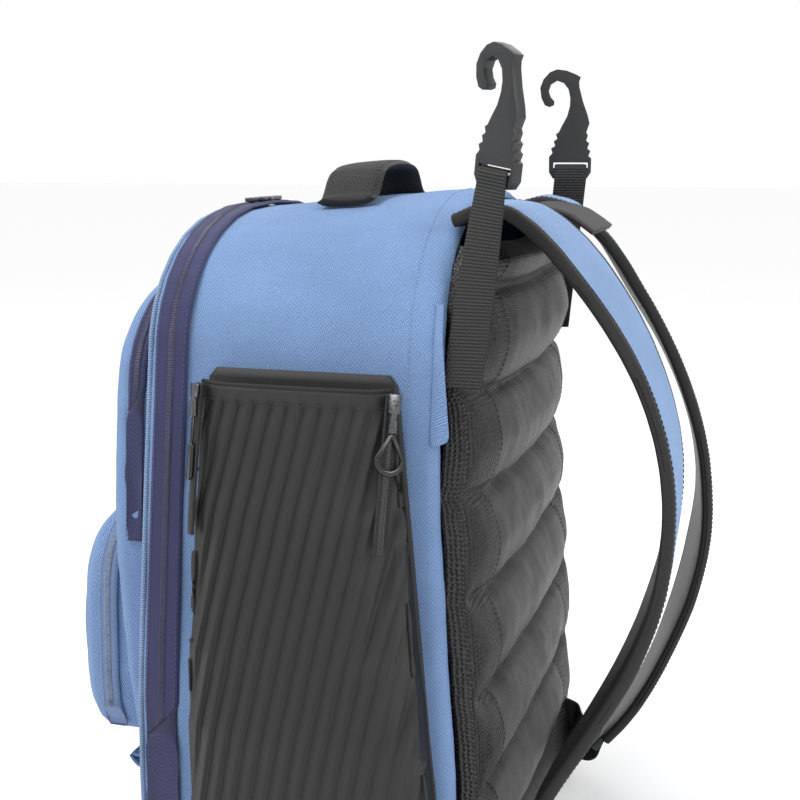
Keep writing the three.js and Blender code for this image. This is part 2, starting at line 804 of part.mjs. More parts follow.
// Cord with a moulded tab, outline in x and y, hanging along +y
function pullGeometry() {
  const shape = new THREE.Shape();
  const cord = cordBar / 2;
  const half = pullWidth / 2;
  const end = pullCordLength + pullTabLength;
  shape.moveTo(-cord, 0);
  shape.lineTo(cord, 0);
  shape.lineTo(cord, pullCordLength);
  shape.lineTo(half, pullCordLength + pullTabCorner);
  shape.lineTo(half, end - pullTabCorner);
  shape.lineTo(half - pullTabCorner, end);
  shape.lineTo(-half + pullTabCorner, end);
  shape.lineTo(-half, end - pullTabCorner);
  shape.lineTo(-half, pullCordLength + pullTabCorner);
  shape.lineTo(-cord, pullCordLength);
  shape.closePath();
  return new THREE.ExtrudeGeometry(shape, { depth: pullThickness, bevelEnabled: false });
}

// Ring hanging by two cord legs from one point
function ringGeometry() {
  const shape = new THREE.Shape();
  shape.moveTo(-cordBar, 0);
  shape.lineTo(cordBar, 0);
  shape.lineTo(ringRadius, ringDrop);
  shape.absarc(0, ringDrop, ringRadius, 0, Math.PI, false);
  shape.closePath();
  const hole = new THREE.Path();
  hole.moveTo(0, cordBar * 1.5);
  hole.lineTo(-ringRadius + ringBar, ringDrop);
  hole.absarc(0, ringDrop, ringRadius - ringBar, Math.PI, 0, true);
  hole.closePath();
  shape.holes.push(hole);
  return new THREE.ExtrudeGeometry(shape, { depth: pullThickness, bevelEnabled: false, curveSegments: 8 });
}

function sleeveZips(side, suffix) {
  const rows = [
    { kind: "front", line: frontZipLine, over: 0.5, slider: 9, pull: pullGeometry },
    { kind: "rear", line: rearZipLine, over: 1, slider: 12, pull: ringGeometry },
  ];
  // over is the share of a pleat's height that the strip rides over
  for (const { kind, line, over, slider, pull } of rows) {
    const lift = pleatHeight * over + gap + stripThickness / 2;
    const stations = sleeveStations(side, line, lift);
    const strip = ribbon(stations, bandSection(sleeveZipWidth, stripThickness, 0.8));
    add("sleeve_" + kind + "_zip_" + suffix, strip, neoprene());
    const top = stations[0];
    const down = stations[1].centre.clone().sub(top.centre).normalize();
    const lay = top.face.clone().add(stations[1].face);
    lay.addScaledVector(down, -lay.dot(down)).normalize();
    const start = top.centre.clone().addScaledVector(lay, stripThickness / 2 + gap + sliderLift);
    const metal = sliderGeometry(slider, sleevePullLength);
    place(add("sleeve_" + kind + "_slider_" + suffix, metal, darkMetal()), start, down, lay);
    const end = start.clone().addScaledVector(down, slider + sleevePullLength + gap);
    place(add("sleeve_" + kind + "_pull_" + suffix, pull(), blackPlastic()), end, down, lay);
  }
}
sleeveZips(1, "right");
sleeveZips(-1, "left");

// Shoulder straps: both shares, of the reach behind the back seam and from the root to the end
const strapRight = [
  { reach: 0.0, drop: 0.0, spread: 0.0, cant: 0 },
  { reach: 0.17, drop: -0.02, spread: 0.1, cant: 9 },
  { reach: 0.34, drop: 0.01, spread: 0.22, cant: 11 },
  { reach: 0.57, drop: 0.1, spread: 0.34, cant: 7 },
  { reach: 0.79, drop: 0.232, spread: 0.45, cant: 3 },
  { reach: 0.91, drop: 0.38, spread: 0.58, cant: 1 },
  { reach: 0.9, drop: 0.53, spread: 0.68, cant: -2 },
  { reach: 0.79, drop: 0.68, spread: 0.8, cant: -6 },
  { reach: 0.62, drop: 0.81, spread: 0.9, cant: -5 },
  { reach: 0.49, drop: 0.895, spread: 1.0, cant: -2 },
  { reach: 0.41, drop: 0.955, spread: 1.15, cant: 0 },
  { reach: 0.37, drop: 1.0, spread: 1.32, cant: 0 },
];
const strapLeft = [
  { reach: 0.0, drop: 0.0, spread: 0.0, cant: 0 },
  { reach: 0.17, drop: -0.015, spread: 0.1, cant: -8 },
  { reach: 0.36, drop: 0.03, spread: 0.22, cant: -14 },
  { reach: 0.58, drop: 0.15, spread: 0.34, cant: -14 },
  { reach: 0.8, drop: 0.295, spread: 0.45, cant: -10 },
  { reach: 0.93, drop: 0.44, spread: 0.58, cant: -8 },
  { reach: 0.96, drop: 0.58, spread: 0.68, cant: -8 },
  { reach: 0.9, drop: 0.73, spread: 0.8, cant: -12 },
  { reach: 0.78, drop: 0.875, spread: 0.9, cant: -12 },
  { reach: 0.68, drop: 0.965, spread: 1.0, cant: -8 },
  { reach: 0.6, drop: 1.02, spread: 1.14, cant: -4 },
  { reach: 0.53, drop: 1.06, spread: 1.3, cant: 0 },
];
const strapRootY = backY(strapRootHeight - strapThickness) + gap;
function strapStations(table, side) {
  const points = table.map(({ reach, drop, spread }) =>
    vec(
      side * lerp(strapRootSpread, strapEndSpread, spread),
      strapRootY + strapReach * reach,
      lerp(strapRootHeight, strapEndHeight, drop),
    ),
  );
  const across = (t) => {
    const place = t * (table.length - 1);
    const k = Math.min(Math.floor(place), table.length - 2);
    const cant = lerp(table[k].cant, table[k + 1].cant, place - k);
    const angle = THREE.MathUtils.degToRad(cant);
    return vec(Math.cos(angle), -Math.sin(angle), 0);
  };
  return stationsAlong(points, 26, across);
}
const strapSection = bandSection(strapWidth, strapThickness, 3);
const strapStationsRight = strapStations(strapRight, 1);
const strapStationsLeft = strapStations(strapLeft, -1);
add("shoulder_strap_right", ribbon(strapStationsRight, strapSection), blueWeave());
add("shoulder_strap_left", ribbon(strapStationsLeft, strapSection), blueWeave());

// Yoke: ribbed band between the two straps' roots
const yokeHalfWidth = strapRootSpread - strapWidth / 2 - 1;
const yokePath = [
  vec(0, strapRootY, strapRootHeight),
  vec(0, strapRootY + yokeReach * 0.08, strapRootHeight),
  vec(0, strapRootY + yokeReach * 0.4, strapRootHeight + 5),
  vec(0, strapRootY + yokeReach * 0.75, strapRootHeight + 1),
  vec(0, strapRootY + yokeReach, strapRootHeight - 11),
];
add(
  "strap_yoke",
  ribbon(stationsAlong(yokePath, 8, () => vec(1, 0, 0)), bandSection(yokeHalfWidth * 2, yokeThickness)),
  blackWebbing(),
);

// Grab handle, over the top with a finger gap under it
const handleSlope = (backTopHeight - frontTopHeight) / mainDepth;
const handleLow = (x) => crownZ(x, handleCentre) + gap + handleThickness / 2;
const handlePath = [
  vec(handleHalfSpan, handleCentre, handleLow(handleHalfSpan)),
  vec(handleHalfSpan * 0.86, handleCentre, handleLow(handleHalfSpan * 0.86)),
  vec(handleHalfSpan * 0.62, handleCentre, handleLow(0) + handleRise * 0.75),
  vec(handleHalfSpan * 0.3, handleCentre, handleLow(0) + handleRise),
  vec(-handleHalfSpan * 0.3, handleCentre, handleLow(0) + handleRise),
  vec(-handleHalfSpan * 0.62, handleCentre, handleLow(0) + handleRise * 0.75),
  vec(-handleHalfSpan * 0.86, handleCentre, handleLow(handleHalfSpan * 0.86)),
  vec(-handleHalfSpan, handleCentre, handleLow(handleHalfSpan)),
];
add(
  "grab_handle",
  ribbon(
    stationsAlong(handlePath, 18, () => vec(0, 1, handleSlope)),
    bandSection(handleWidth, handleThickness, 2),
  ),
  blackWebbing(),
);

// Fence hook: outline in its own plane, x across it and y up, from the middle of its foot
const hookOutline = [
  [12.7, 0], [16, 5], [16, 16], [13.8, 17.5], [15.2, 21.5], [12.8, 23.5], [14.2, 27.5], [11.8, 29.5],
  [13, 33.5], [11.7, 36], [14, 42.7], [12.4, 49], [8.5, 59.6], [5.6, 70], [5.2, 74.6], [6.4, 78],
  [2.8, 80], [-4.7, 83], [-12.2, 84], [-17.8, 81.7], [-22.5, 76.5], [-24.9, 70], [-23.9, 62.4],
  [-21.1, 56.8], [-17.4, 55.4], [-14, 56.8], [-13.6, 59.6], [-16.6, 63], [-18.2, 67.6], [-16.6, 72.6],
  [-11.8, 75.6], [-6.6, 73.7], [-2.9, 69], [-1.4, 62.4], [-1.6, 55.9], [-3.5, 48.4], [-7.5, 40.8],
  [-9.8, 36], [-12, 34.5], [-10.8, 31], [-13.6, 29], [-12.4, 25.5], [-15.6, 23.5], [-14.4, 20],
  [-17, 17], [-16.8, 5], [-13.6, 0],
];
const hookDesignHeight = 84; // height of the outline above
function hookGeometry() {
  const scale = hookHeight / hookDesignHeight;
  const shape = new THREE.Shape(hookOutline.map(([x, y]) => new THREE.Vector2(x * scale, y * scale)));
  const slot = new THREE.Path();
  const half = webbingWidth / 2 + 1;
  slot.moveTo(-half, hookSlotFloor);
  slot.lineTo(-half, hookSlotFloor + hookSlotHeight);
  slot.lineTo(half, hookSlotFloor + hookSlotHeight);
  slot.lineTo(half, hookSlotFloor);
  slot.closePath();
  shape.holes.push(slot);
  const geometry = new THREE.ExtrudeGeometry(shape, { depth: hookThickness, bevelEnabled: false });
  return geometry.translate(0, 0, -hookThickness / 2);
}

// Hook, webbing and cloth flap of one side; turn is the hook's turn about the vertical
function fenceHook(side, turn, lean, suffix) {
  const angle = THREE.MathUtils.degToRad(turn);
  const tilt = THREE.MathUtils.degToRad(lean);
  const across = vec(Math.sin(angle), Math.cos(angle), 0);
  const outward = vec(Math.cos(angle), -Math.sin(angle), 0);
  const foot = vec(side * hookSpread, hookSetback, hookBottomHeight);
  const hook = add("fence_hook_" + suffix, hookGeometry(), blackPlastic());
  hook.matrixAutoUpdate = false;
  const along = across.clone().multiplyScalar(Math.sin(tilt)).add(vec(0, 0, Math.cos(tilt)));
  const width = new THREE.Vector3().crossVectors(along, outward);
  hook.matrix.makeBasis(width, along, outward).setPosition(foot);

  const lift = hookThickness / 2 + gap + webbingThickness / 2;
  const slotZ = hookSlotFloor + hookSlotHeight / 2;
  const endX = outlineX(fenceWebbingEnd) - webbingThickness / 2;
  const endY = backY(fenceWebbingEnd) + gap + webbingWidth / 2 + 0.5;
  // Out through the slot and down over the hook's face; lean turns the face from up to outward
  const bend = webbingThickness * 0.9;
  const stations = [
    { out: 0, up: slotZ, lean: 0 },
    { out: lift - bend / 3, up: slotZ, lean: 0.5 },
    { out: lift, up: slotZ - bend, lean: 1 },
    { out: lift, up: 0, lean: 1 },
  ].map(({ out, up, lean }) => ({
    centre: foot.clone().addScaledVector(outward, out).addScaledVector(along, up),
    side: width,
    face: along.clone().lerp(outward, lean).normalize(),
  }));
  const start = foot.clone().addScaledVector(outward, lift);
  const steps = 6;
  for (let k = 1; k <= steps; k += 1) {
    const t = k / steps;
    const centre = vec(
      lerp(start.x, side * endX, t),
      lerp(start.y, endY, t),
      lerp(start.z, fenceWebbingEnd, t),
    );
    const cross = width.clone().lerp(vec(0, 1, 0), Math.min(t * 1.6, 1)).normalize();
    const down = vec(side * endX - start.x, endY - start.y, fenceWebbingEnd - start.z).normalize();
    const face = new THREE.Vector3().crossVectors(cross, down).normalize();
    if (face.dot(outward) < 0) face.negate();
    stations.push({ centre, side: cross, face });
  }
  add("fence_webbing_" + suffix, ribbon(stations, bandSection(webbingWidth, webbingThickness)), blackWebbing());

  // Cloth flap over the webbing's root, its outline in y and z on the side of the body
  const flapLow = fenceWebbingEnd - flapDrop;
  const crownLevel = (step) =>
    shoulderHeight + (backTopHeight - shoulderHeight) * Math.sin((step / crownSteps) * (Math.PI / 2));
  const rows = [
    { z: flapLow, tip: -0.1 },
    { z: flapLow + 3, tip: 0.7 },
    { z: shoulderHeight * bodySides[bodySides.length - 2].height, tip: 0.8 },
    { z: fenceWebbingEnd, tip: 0.4 },
    { z: shoulderHeight, tip: 0.3 },
    { z: crownLevel(1), tip: 0.1 },
    { z: crownLevel(2), tip: 0 },
  ];
  const rings = rows.map(({ z, tip }) => {
    const x = outlineX(z) + gap;
    const front = backY(z) - flapWidth;
    const rear = backY(z) + flapTip * tip;
    const middle = lerp(front, rear, flapBend);
    return [
      vec(side * (x - flapTuck), front, z),
      vec(side * x, middle, z),
      vec(side * x, rear, z),
      vec(side * (x + clothWall), rear, z),
      vec(side * (x + clothWall), middle, z),
      vec(side * (x + clothWall - flapTuck), front, z),
    ];
  });
  add("webbing_flap_" + suffix, loft(rings), blueWeave());
}
fenceHook(1, hookTurnRight, hookLeanRight, "right");
fenceHook(-1, hookTurnLeft, hookLeanLeft, "left");

// The wing from the side seam round the pad's edge: past is a share of the pad's thickness
const wingFold = [
  { inward: 0, past: 0, outward: 0.4, down: 0 },
  { inward: 0, past: 1, outward: -1, down: 0 },
  { inward: 6, past: 1, outward: 4, down: 4 },
  { inward: 15, past: 1, outward: 9, down: 8 },
  { inward: 24, past: 1, outward: 12, down: 7 },
];

// Lower strap ends: ladder lock under the pad, webbing, and a wing sewn into the side seam
function strapEnd(side, stations, suffix) {
  const last = stations[stations.length - 1];
  const down = last.centre.clone().sub(stations[stations.length - 2].centre).normalize();
  const lockCentre = last.centre.clone().addScaledVector(down, ladderLockHeight / 2 + gap);
  const frame = new THREE.Shape();
  const w = ladderLockWidth / 2;
  const h = ladderLockHeight / 2;
  frame.moveTo(-w, -h);
  frame.lineTo(w, -h);
  frame.lineTo(w, h);
  frame.lineTo(-w, h);
  frame.closePath();
  for (const level of [-h + 4, 2]) {
    const slot = new THREE.Path();
    slot.moveTo(-w + 4, level);
    slot.lineTo(-w + 4, level + 6);
    slot.lineTo(w - 4, level + 6);
    slot.lineTo(w - 4, level);
    slot.closePath();
    frame.holes.push(slot);
  }
  const lockGeometry = new THREE.ExtrudeGeometry(frame, { depth: ladderLockThickness, bevelEnabled: false });
  lockGeometry.translate(0, 0, -ladderLockThickness / 2);
  const lock = add("ladder_lock_" + suffix, lockGeometry, blackPlastic());
  const across = last.side.clone();
  const out = new THREE.Vector3().crossVectors(across, down.clone().negate());
  lock.matrixAutoUpdate = false;
  lock.matrix.makeBasis(across, down.clone().negate(), out).setPosition(lockCentre);

  const sideWall = padHalfWidth(wingLevel + wingHeightSide / 2) + gap + wingThickness / 2;
  const back = backY(wingLevel - wingHeightSide / 2) + gap;
  const padOut = lerp(padBaseThickness, padThickness, padShare(wingLevel + wingHeightSide / 2));
  const wingPath = wingFold.map(({ inward, past, outward, down: fall }) =>
    vec(side * (sideWall - inward), back + padOut * past + outward, wingLevel - fall),
  );
  const taper = (t) => lerp(wingHeightSide, wingHeightTip, t) / wingHeightSide;
  const wingSide = (t) => vec(0, 0, 1).lerp(vec(side * 0.83, 0, 0.56), t * t);
  const wing = stationsAlong(wingPath, 10, wingSide, taper);
  add("strap_wing_" + suffix, ribbon(wing, bandSection(wingHeightSide, wingThickness)), blackMesh());

  const outward = out.y < 0 ? out.clone().negate() : out;
  const barOut = ladderLockThickness / 2 + gap + webbingThickness / 2;
  const bar = lockCentre.clone().addScaledVector(down, h - 2).addScaledVector(outward, barOut);
  const tip = wing[wing.length - 1];
  const inner = tip.centre.clone().sub(wing[wing.length - 2].centre).normalize();
  const over = tip.face.clone().multiplyScalar(Math.sign(tip.face.y));
  const lap = wingThickness / 2 + gap + webbingThickness / 2;
  const lappedAt = (along, lift) =>
    tip.centre.clone().addScaledVector(inner, along).addScaledVector(over, lap + lift);
  const webbingPath = [
    bar,
    bar.clone().addScaledVector(down, 6).addScaledVector(outward, 0.5),
    lappedAt(4, 2.3),
    lappedAt(-4, 1.4),
  ];
  const endSide = tip.side.clone().multiplyScalar(Math.sign(tip.side.dot(vec(0.83, 0, side * 0.56))));
  const acrossAt = (t) => across.clone().lerp(endSide, Math.min(t * 1.4, 1)).normalize();
  add(
    "lower_webbing_" + suffix,
    ribbon(stationsAlong(webbingPath, 8, acrossAt), bandSection(webbingWidth, webbingThickness)),
    blackWebbing(),
  );
}
strapEnd(1, strapStationsRight, "right");
strapEnd(-1, strapStationsLeft, "left");

// The part's own origin is the place where it hangs
bag.position.set(0, -hangSetback, -hangHeight);
const part = new THREE.Group();
part.add(bag);
export default part;
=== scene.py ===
import math

import bmesh
import bpy
import numpy as np
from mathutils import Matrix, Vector, noise
from mathutils.bvhtree import BVHTree


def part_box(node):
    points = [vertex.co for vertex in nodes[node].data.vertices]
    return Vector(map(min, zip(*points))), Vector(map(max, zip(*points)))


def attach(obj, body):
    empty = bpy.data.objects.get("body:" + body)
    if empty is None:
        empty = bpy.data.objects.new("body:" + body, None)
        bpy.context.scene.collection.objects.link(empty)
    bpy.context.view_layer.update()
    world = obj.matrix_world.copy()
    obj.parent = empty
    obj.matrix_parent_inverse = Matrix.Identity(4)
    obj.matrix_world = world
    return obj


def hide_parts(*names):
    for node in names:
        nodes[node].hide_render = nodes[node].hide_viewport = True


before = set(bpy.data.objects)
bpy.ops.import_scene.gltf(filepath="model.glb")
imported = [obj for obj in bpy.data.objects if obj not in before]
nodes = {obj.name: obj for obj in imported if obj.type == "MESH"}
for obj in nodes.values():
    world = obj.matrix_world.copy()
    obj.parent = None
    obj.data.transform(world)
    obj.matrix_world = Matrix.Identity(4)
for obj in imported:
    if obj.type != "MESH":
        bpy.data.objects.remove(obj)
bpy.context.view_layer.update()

MM = 0.001

# Camera, floor and light
# The bag floats 2 mm over white paper, seen from its right side and a little from
# behind, with one large soft light above and in front and a weak one behind.
LENS_MM = 58.95
EYE = Vector((0.9149, 0.1903, -0.0556))
LOOK = Vector((-0.93956, -0.28793, -0.18528))
eye = bpy.data.cameras.new("photo_eye")
eye.lens = LENS_MM
eye.sensor_width = 36
camera = bpy.data.objects.new("photo_eye", eye)
bpy.context.scene.collection.objects.link(camera)
camera.location = EYE
camera.rotation_euler = LOOK.to_track_quat("-Z", "Y").to_euler()
bpy.context.scene.camera = camera

body_low, body_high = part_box("main_shell")
middle = (body_low + body_high) / 2
FLOOR_CLEARANCE = 2 * MM


def linear(code):
    """sRGB hex colour as the linear RGBA that a shader takes."""
    values = [int(code[k:k + 2], 16) / 255 for k in (1, 3, 5)]
    return tuple(v / 12.92 if v <= 0.04045 else ((v + 0.055) / 1.055) ** 2.4 for v in values) + (1,)


def add_node(material, kind, feeds=None, **settings):
    """Adds a node: settings are its properties or inputs, feeds are the sockets linked into it."""
    made = material.node_tree.nodes.new(kind)
    for key, value in settings.items():
        if hasattr(made, key):
            setattr(made, key, value)
        else:
            made.inputs[key.replace("_", " ")].default_value = value
    for key, socket in (feeds or {}).items():
        material.node_tree.links.new(socket, made.inputs[key])
    return made


bpy.ops.object.select_all(action="DESELECT")
bpy.ops.mesh.primitive_plane_add(size=40, location=(0, 0, body_low.z - FLOOR_CLEARANCE))
floor = bpy.context.object
floor.name = "studio_floor"
paper = bpy.data.materials.new("matt white paper")
paper.use_nodes = True
paper_shader = paper.node_tree.nodes["Principled BSDF"]
paper_shader.inputs["Base Color"].default_value = linear("#fbfbfb")
paper_shader.inputs["Roughness"].default_value = 1.0
floor.data.materials.append(paper)

air = bpy.data.worlds.new("studio_air")
air.use_nodes = True
air.node_tree.nodes["Background"].inputs["Color"].default_value = linear("#ffffff")
air.node_tree.nodes["Background"].inputs["Strength"].default_value = 1.0
bpy.context.scene.world = air
bpy.context.scene.view_settings.view_transform = "Standard"

softboxes = [
    ("softbox_above", (0.5, -0.9, 1.2), 0.9, 22),
    ("softbox_behind", (0.7, 1.6, 0.6), 0.8, 14),
    ("softbox_left", (-1.4, 0.4, 0.9), 1.2, 6),
]
for name, spot, size, watts in softboxes:
    lamp = bpy.data.lights.new(name, "AREA")
    lamp.shape = "DISK"
    lamp.size = size
    lamp.energy = watts
    holder = bpy.data.objects.new(name, lamp)
    bpy.context.scene.collection.objects.link(holder)
    holder.location = Vector(spot)
    holder.rotation_euler = (middle - holder.location).to_track_quat("-Z", "Y").to_euler()

# Two-tone polyester weave
# Light and mid blue yarns float over each other in short diagonal dashes, so the cloth has a
# small broken zig-zag that shows most where the light grazes it. Its colour follows the yarn
# height: painted shade in the dips between dashes and a painted highlight on the raised yarns,
# over the two real yarn tones. Dashes are 1.7 mm apart.


def new_material(name, roughness, sheen=0.0, metallic=0.0):
    """An empty material with its shader; values the same all over go straight on the shader."""
    made = bpy.data.materials.new(name)
    made.use_nodes = True
    shader = made.node_tree.nodes["Principled BSDF"]
    shader.inputs["Roughness"].default_value = roughness
    shader.inputs["Sheen Weight"].default_value = sheen
    shader.inputs["Metallic"].default_value = metallic
    return made, shader


def uv_axes(material):
    """The two lengths along the cloth, in metres, from the piece's own UV map."""
    place = add_node(material, "ShaderNodeTexCoord")
    axes = add_node(material, "ShaderNodeSeparateXYZ", {0: place.outputs["UV"]})
    return place.outputs["UV"], axes.outputs[0], axes.outputs[1]


def math_of(material, operation, first, second=None, third=None):
    """One arithmetic step; each operand is a socket or a number."""
    step = add_node(material, "ShaderNodeMath", operation=operation)
    for slot, value in enumerate((first, second, third)):
        if value is None:
            continue
        if isinstance(value, (int, float)):
            step.inputs[slot].default_value = value
        else:
            material.node_tree.links.new(value, step.inputs[slot])
    return step.outputs[0]


def wave(material, socket, pitch, offset=0.0):
    """A wave from -1 to 1 that repeats every pitch metres along a socket."""
    turned = math_of(material, "MULTIPLY_ADD", socket, 2 * math.pi / pitch, offset)
    return math_of(material, "SINE", turned)


def colour_by(material, shader, factor, stops, bump=None, depth=0.0002, patchy=0.12, patch=0.05):
    """Colours the shader by a factor through hex stops, with broad patches, and adds the bump."""
    ramp = add_node(material, "ShaderNodeValToRGB", {"Fac": factor})
    marks = ramp.color_ramp.elements
    while len(marks) < len(stops):
        marks.new(0.5)
    for mark, (at, code) in zip(marks, stops):
        mark.position = at
        mark.color = linear(code)
    spot = add_node(material, "ShaderNodeTexCoord")
    cloud = add_node(
        material, "ShaderNodeTexNoise", {"Vector": spot.outputs["Object"]}, Scale=1 / patch, Detail=3.0
    )
    shade = add_node(
        material, "ShaderNodeMapRange", {"Value": cloud.outputs["Fac"]},
        From_Min=0.3, From_Max=0.7, To_Min=1 - patchy, To_Max=1 + patchy,
    )
    toned = add_node(
        material, "ShaderNodeVectorMath", {0: ramp.outputs["Color"], 1: shade.outputs[0]},
        operation="MULTIPLY",
    )
    material.node_tree.links.new(toned.outputs[0], shader.inputs["Base Color"])
    if bump is not None:
        relief = add_node(material, "ShaderNodeBump", {"Height": bump}, Distance=depth)
        material.node_tree.links.new(relief.outputs[0], shader.inputs["Normal"])


def woven_blue(name, light, mid, dark):
    """Zig-zag weave: patches of dashes that lean one way or the other; the dips get painted shade and the raised
    yarns a painted highlight.
    """
    made, shader = new_material(name, 0.85, sheen=0.03)
    uv, u, v = uv_axes(made)
    dash = 1.7 * MM
    patch = 4.2 * MM
    rise = math_of(made, "ADD", u, v)
    fall = math_of(made, "SUBTRACT", u, v)
    cells = add_node(made, "ShaderNodeTexVoronoi", {"Vector": uv}, Scale=1 / patch, Randomness=0.75)
    split = add_node(made, "ShaderNodeSeparateColor", {0: cells.outputs["Color"]})
    lean = math_of(made, "GREATER_THAN", split.outputs[0], 0.5)
    leaning = math_of(made, "MULTIPLY", wave(made, rise, dash), lean)
    other = math_of(made, "SUBTRACT", 1.0, lean)
    dashes = math_of(made, "MULTIPLY_ADD", wave(made, fall, dash), other, leaning)
    breaks = math_of(made, "MULTIPLY", wave(made, u, patch * 0.7), wave(made, v, patch * 0.7))
    yarn = math_of(made, "MULTIPLY_ADD", breaks, 0.3, dashes)
    height = add_node(made, "ShaderNodeMapRange", {"Value": yarn}, From_Min=-1.2, From_Max=1.2)
    # dark is painted shade in the dips, light is the pale yarn with a painted highlight on the raised dashes
    stops = [(0.12, dark), (0.5, mid), (0.85, light)]
    colour_by(made, shader, height.outputs[0], stops, height.outputs[0], 0.00025, 0.07)
    return made


def ribbed(name, dark, light, along=0.0, across=0.0, roughness=0.8, depth=0.0002, sheen=0.1, patchy=0.1):
    """Ribbed cloth: ribs repeat along v and, where across is given, yarns cross them along u. The colour follows
    the rib height, dark as painted shade in the grooves and light as a painted highlight on the crests.
    """
    made, shader = new_material(name, roughness, sheen=sheen)
    uv, u, v = uv_axes(made)
    height = wave(made, v, along) if along else wave(made, u, across)
    if along and across:
        row = math_of(made, "FLOOR", math_of(made, "DIVIDE", v, along))
        shift = math_of(made, "MULTIPLY", row, math.pi)
        turned = math_of(made, "MULTIPLY_ADD", u, 2 * math.pi / across, shift)
        yarns = math_of(made, "SINE", turned)
        height = math_of(made, "MULTIPLY_ADD", yarns, 0.8, height)
    # the rib height picks the colour: dark in the grooves is painted shade, light on the crests is a painted
    # highlight
    level = add_node(made, "ShaderNodeMapRange", {"Value": height}, From_Min=-1.4, From_Max=1.4)
    colour_by(
        made, shader, level.outputs[0], [(0.2, dark), (0.85, light)], level.outputs[0], depth, patchy
    )
    return made


blue_weave = woven_blue("polyester zig-zag weave", "#7e9ac0", "#6380ab", "#45618c")
strap_blue = woven_blue("strap face weave", "#8ba6c8", "#708db6", "#52709c")
# Every ribbed finish below is painted darker in its grooves (painted shade) and lighter on its crests (painted
# highlight).
navy_tape = ribbed("navy polyester zip tape", "#1c1e42", "#30335f", 0.9 * MM, 1.5 * MM)
pale_tape = ribbed("pale blue zip tape", "#546a90", "#7388ab", 0.9 * MM, 1.5 * MM)
webbing = ribbed("black polyester webbing", "#030303", "#161514", 2.1 * MM, 2.6 * MM, 0.6, 0.0007, 0.0)
grosgrain = ribbed("black grosgrain binding", "#040404", "#131314", 0.9 * MM, 0, 0.65, 0.0004, 0.0)
knit = ribbed("black knit neoprene", "#0b0b0c", "#161617", 0.6 * MM, 0.8 * MM, 0.55, 0.00008, 0.0)
padding = ribbed("black ribbed air mesh", "#020202", "#111010", 1.5 * MM, 1.9 * MM, 0.42, 0.0006, 0.0)
thread = ribbed("black bonded thread", "#0a0a0b", "#232324", 0.4 * MM, 0, 0.6, 0.0001)
pale_thread = ribbed("blue bonded thread", "#557097", "#8099bd", 0.4 * MM, 0, 0.6, 0.0001)


def spacer_mesh(name):
    """Open air mesh: holes in rows between knots, painted shade in the holes and a painted highlight on the
    knots.
    """
    made, shader = new_material(name, 0.5)
    uv, u, v = uv_axes(made)
    hole = 3.2 * MM
    cells = add_node(made, "ShaderNodeTexVoronoi", {"Vector": uv}, Scale=1 / hole, Randomness=0.25)
    rim = add_node(
        made, "ShaderNodeMapRange", {"Value": cells.outputs["Distance"]}, From_Min=0.22, From_Max=0.5
    )
    # hole centres get the darkest colour as painted shade, the knot rims the lightest as a painted highlight
    colour_by(
        made, shader, rim.outputs[0], [(0.0, "#010101"), (0.6, "#0e0d0d"), (1.0, "#1c1b1a")],
        rim.outputs[0], 0.0009,
    )
    return made


open_mesh = spacer_mesh("black spacer mesh")


def grained(name, dark, light, roughness, metallic=0.0, grain=1.2 * MM, depth=0.00004):
    """Hard finish: fine moulded or cast grain with faint rubbed patches."""
    made, shader = new_material(name, roughness, metallic=metallic)
    spot = add_node(made, "ShaderNodeTexCoord")
    speck = add_node(
        made, "ShaderNodeTexNoise", {"Vector": spot.outputs["Object"]}, Scale=1 / grain, Detail=4.0
    )
    colour_by(
        made, shader, speck.outputs["Fac"], [(0.3, dark), (0.7, light)], speck.outputs["Fac"], depth, 0.15,
        0.02,
    )
    return made


abs_plastic = grained("moulded ABS plastic", "#141618", "#1f2224", 0.4)
gloss_plastic = grained("glossy black plastic", "#0d0d0e", "#1c1c1e", 0.22)
plated_metal = grained("dark plated zinc", "#3a3a3d", "#6a6b6f", 0.3, 0.9)
navy_nylon = grained("navy nylon coil", "#15172f", "#2f3157", 0.4)
pale_nylon = grained("grey-blue nylon coil", "#4c5a74", "#77879f", 0.4)
black_nylon = grained("black nylon coil", "#101011", "#2c2c2e", 0.4)


def rings_of(node, toward):
    """Rings of points of a lofted node, in order from the flat end that lies furthest toward."""
    mesh = bmesh.new()
    mesh.from_mesh(nodes[node].data)
    bmesh.ops.remove_doubles(mesh, verts=mesh.verts, dist=2e-6)
    mesh.normal_update()
    flat = []
    for v in mesh.verts:
        first = v.link_faces[0].normal
        if all(first.dot(face.normal) > 0.9999 for face in v.link_faces):
            flat.append(v)
    start = max(flat, key=lambda v: v.co.dot(Vector(toward)))
    rings, seen, front = [], {start}, [start]
    while front:
        front = list({e.other_vert(v) for v in front for e in v.link_edges} - seen)
        seen |= set(front)
        if len(front) > 2:
            rings.append(np.array([v.co[:] for v in front]))
    mesh.free()
    return rings


def outline_of(ring):
    """Points of an upright ring sorted round it, from the middle of its base."""
    centre = (ring.max(0) + ring.min(0)) / 2
    angle = np.arctan2(ring[:, 0] - centre[0], -(ring[:, 2] - centre[2]))
    return ring[np.argsort(angle)]


def resample(points, count, window=0.0, closed=False):
    """Evenly spaced points along a line of points, eased over a window of its length in metres."""
    line = np.vstack([points, points[:1]]) if closed else np.asarray(points)
    run = np.concatenate([[0], np.cumsum(np.linalg.norm(np.diff(line[:, :3], axis=0), axis=1))])
    want = np.linspace(0, run[-1], count)
    made = np.stack([np.interp(want, run, line[:, k]) for k in range(line.shape[1])], 1)
    reach = int(window / run[-1] * (count - 1) / 2)
    if reach < 1:
        return made
    weights = np.hanning(2 * reach + 3)[1:-1]
    weights /= weights.sum()
    if closed:
        padded = np.vstack([made[-1 - reach:-1], made, made[1:reach + 1]])
    else:
        head = 2 * made[0] - made[reach:0:-1]
        tail = 2 * made[-1] - made[-2:-reach - 2:-1]
        padded = np.vstack([head, made, tail])
    return np.stack([np.convolve(padded[:, k], weights, "valid") for k in range(made.shape[1])], 1)


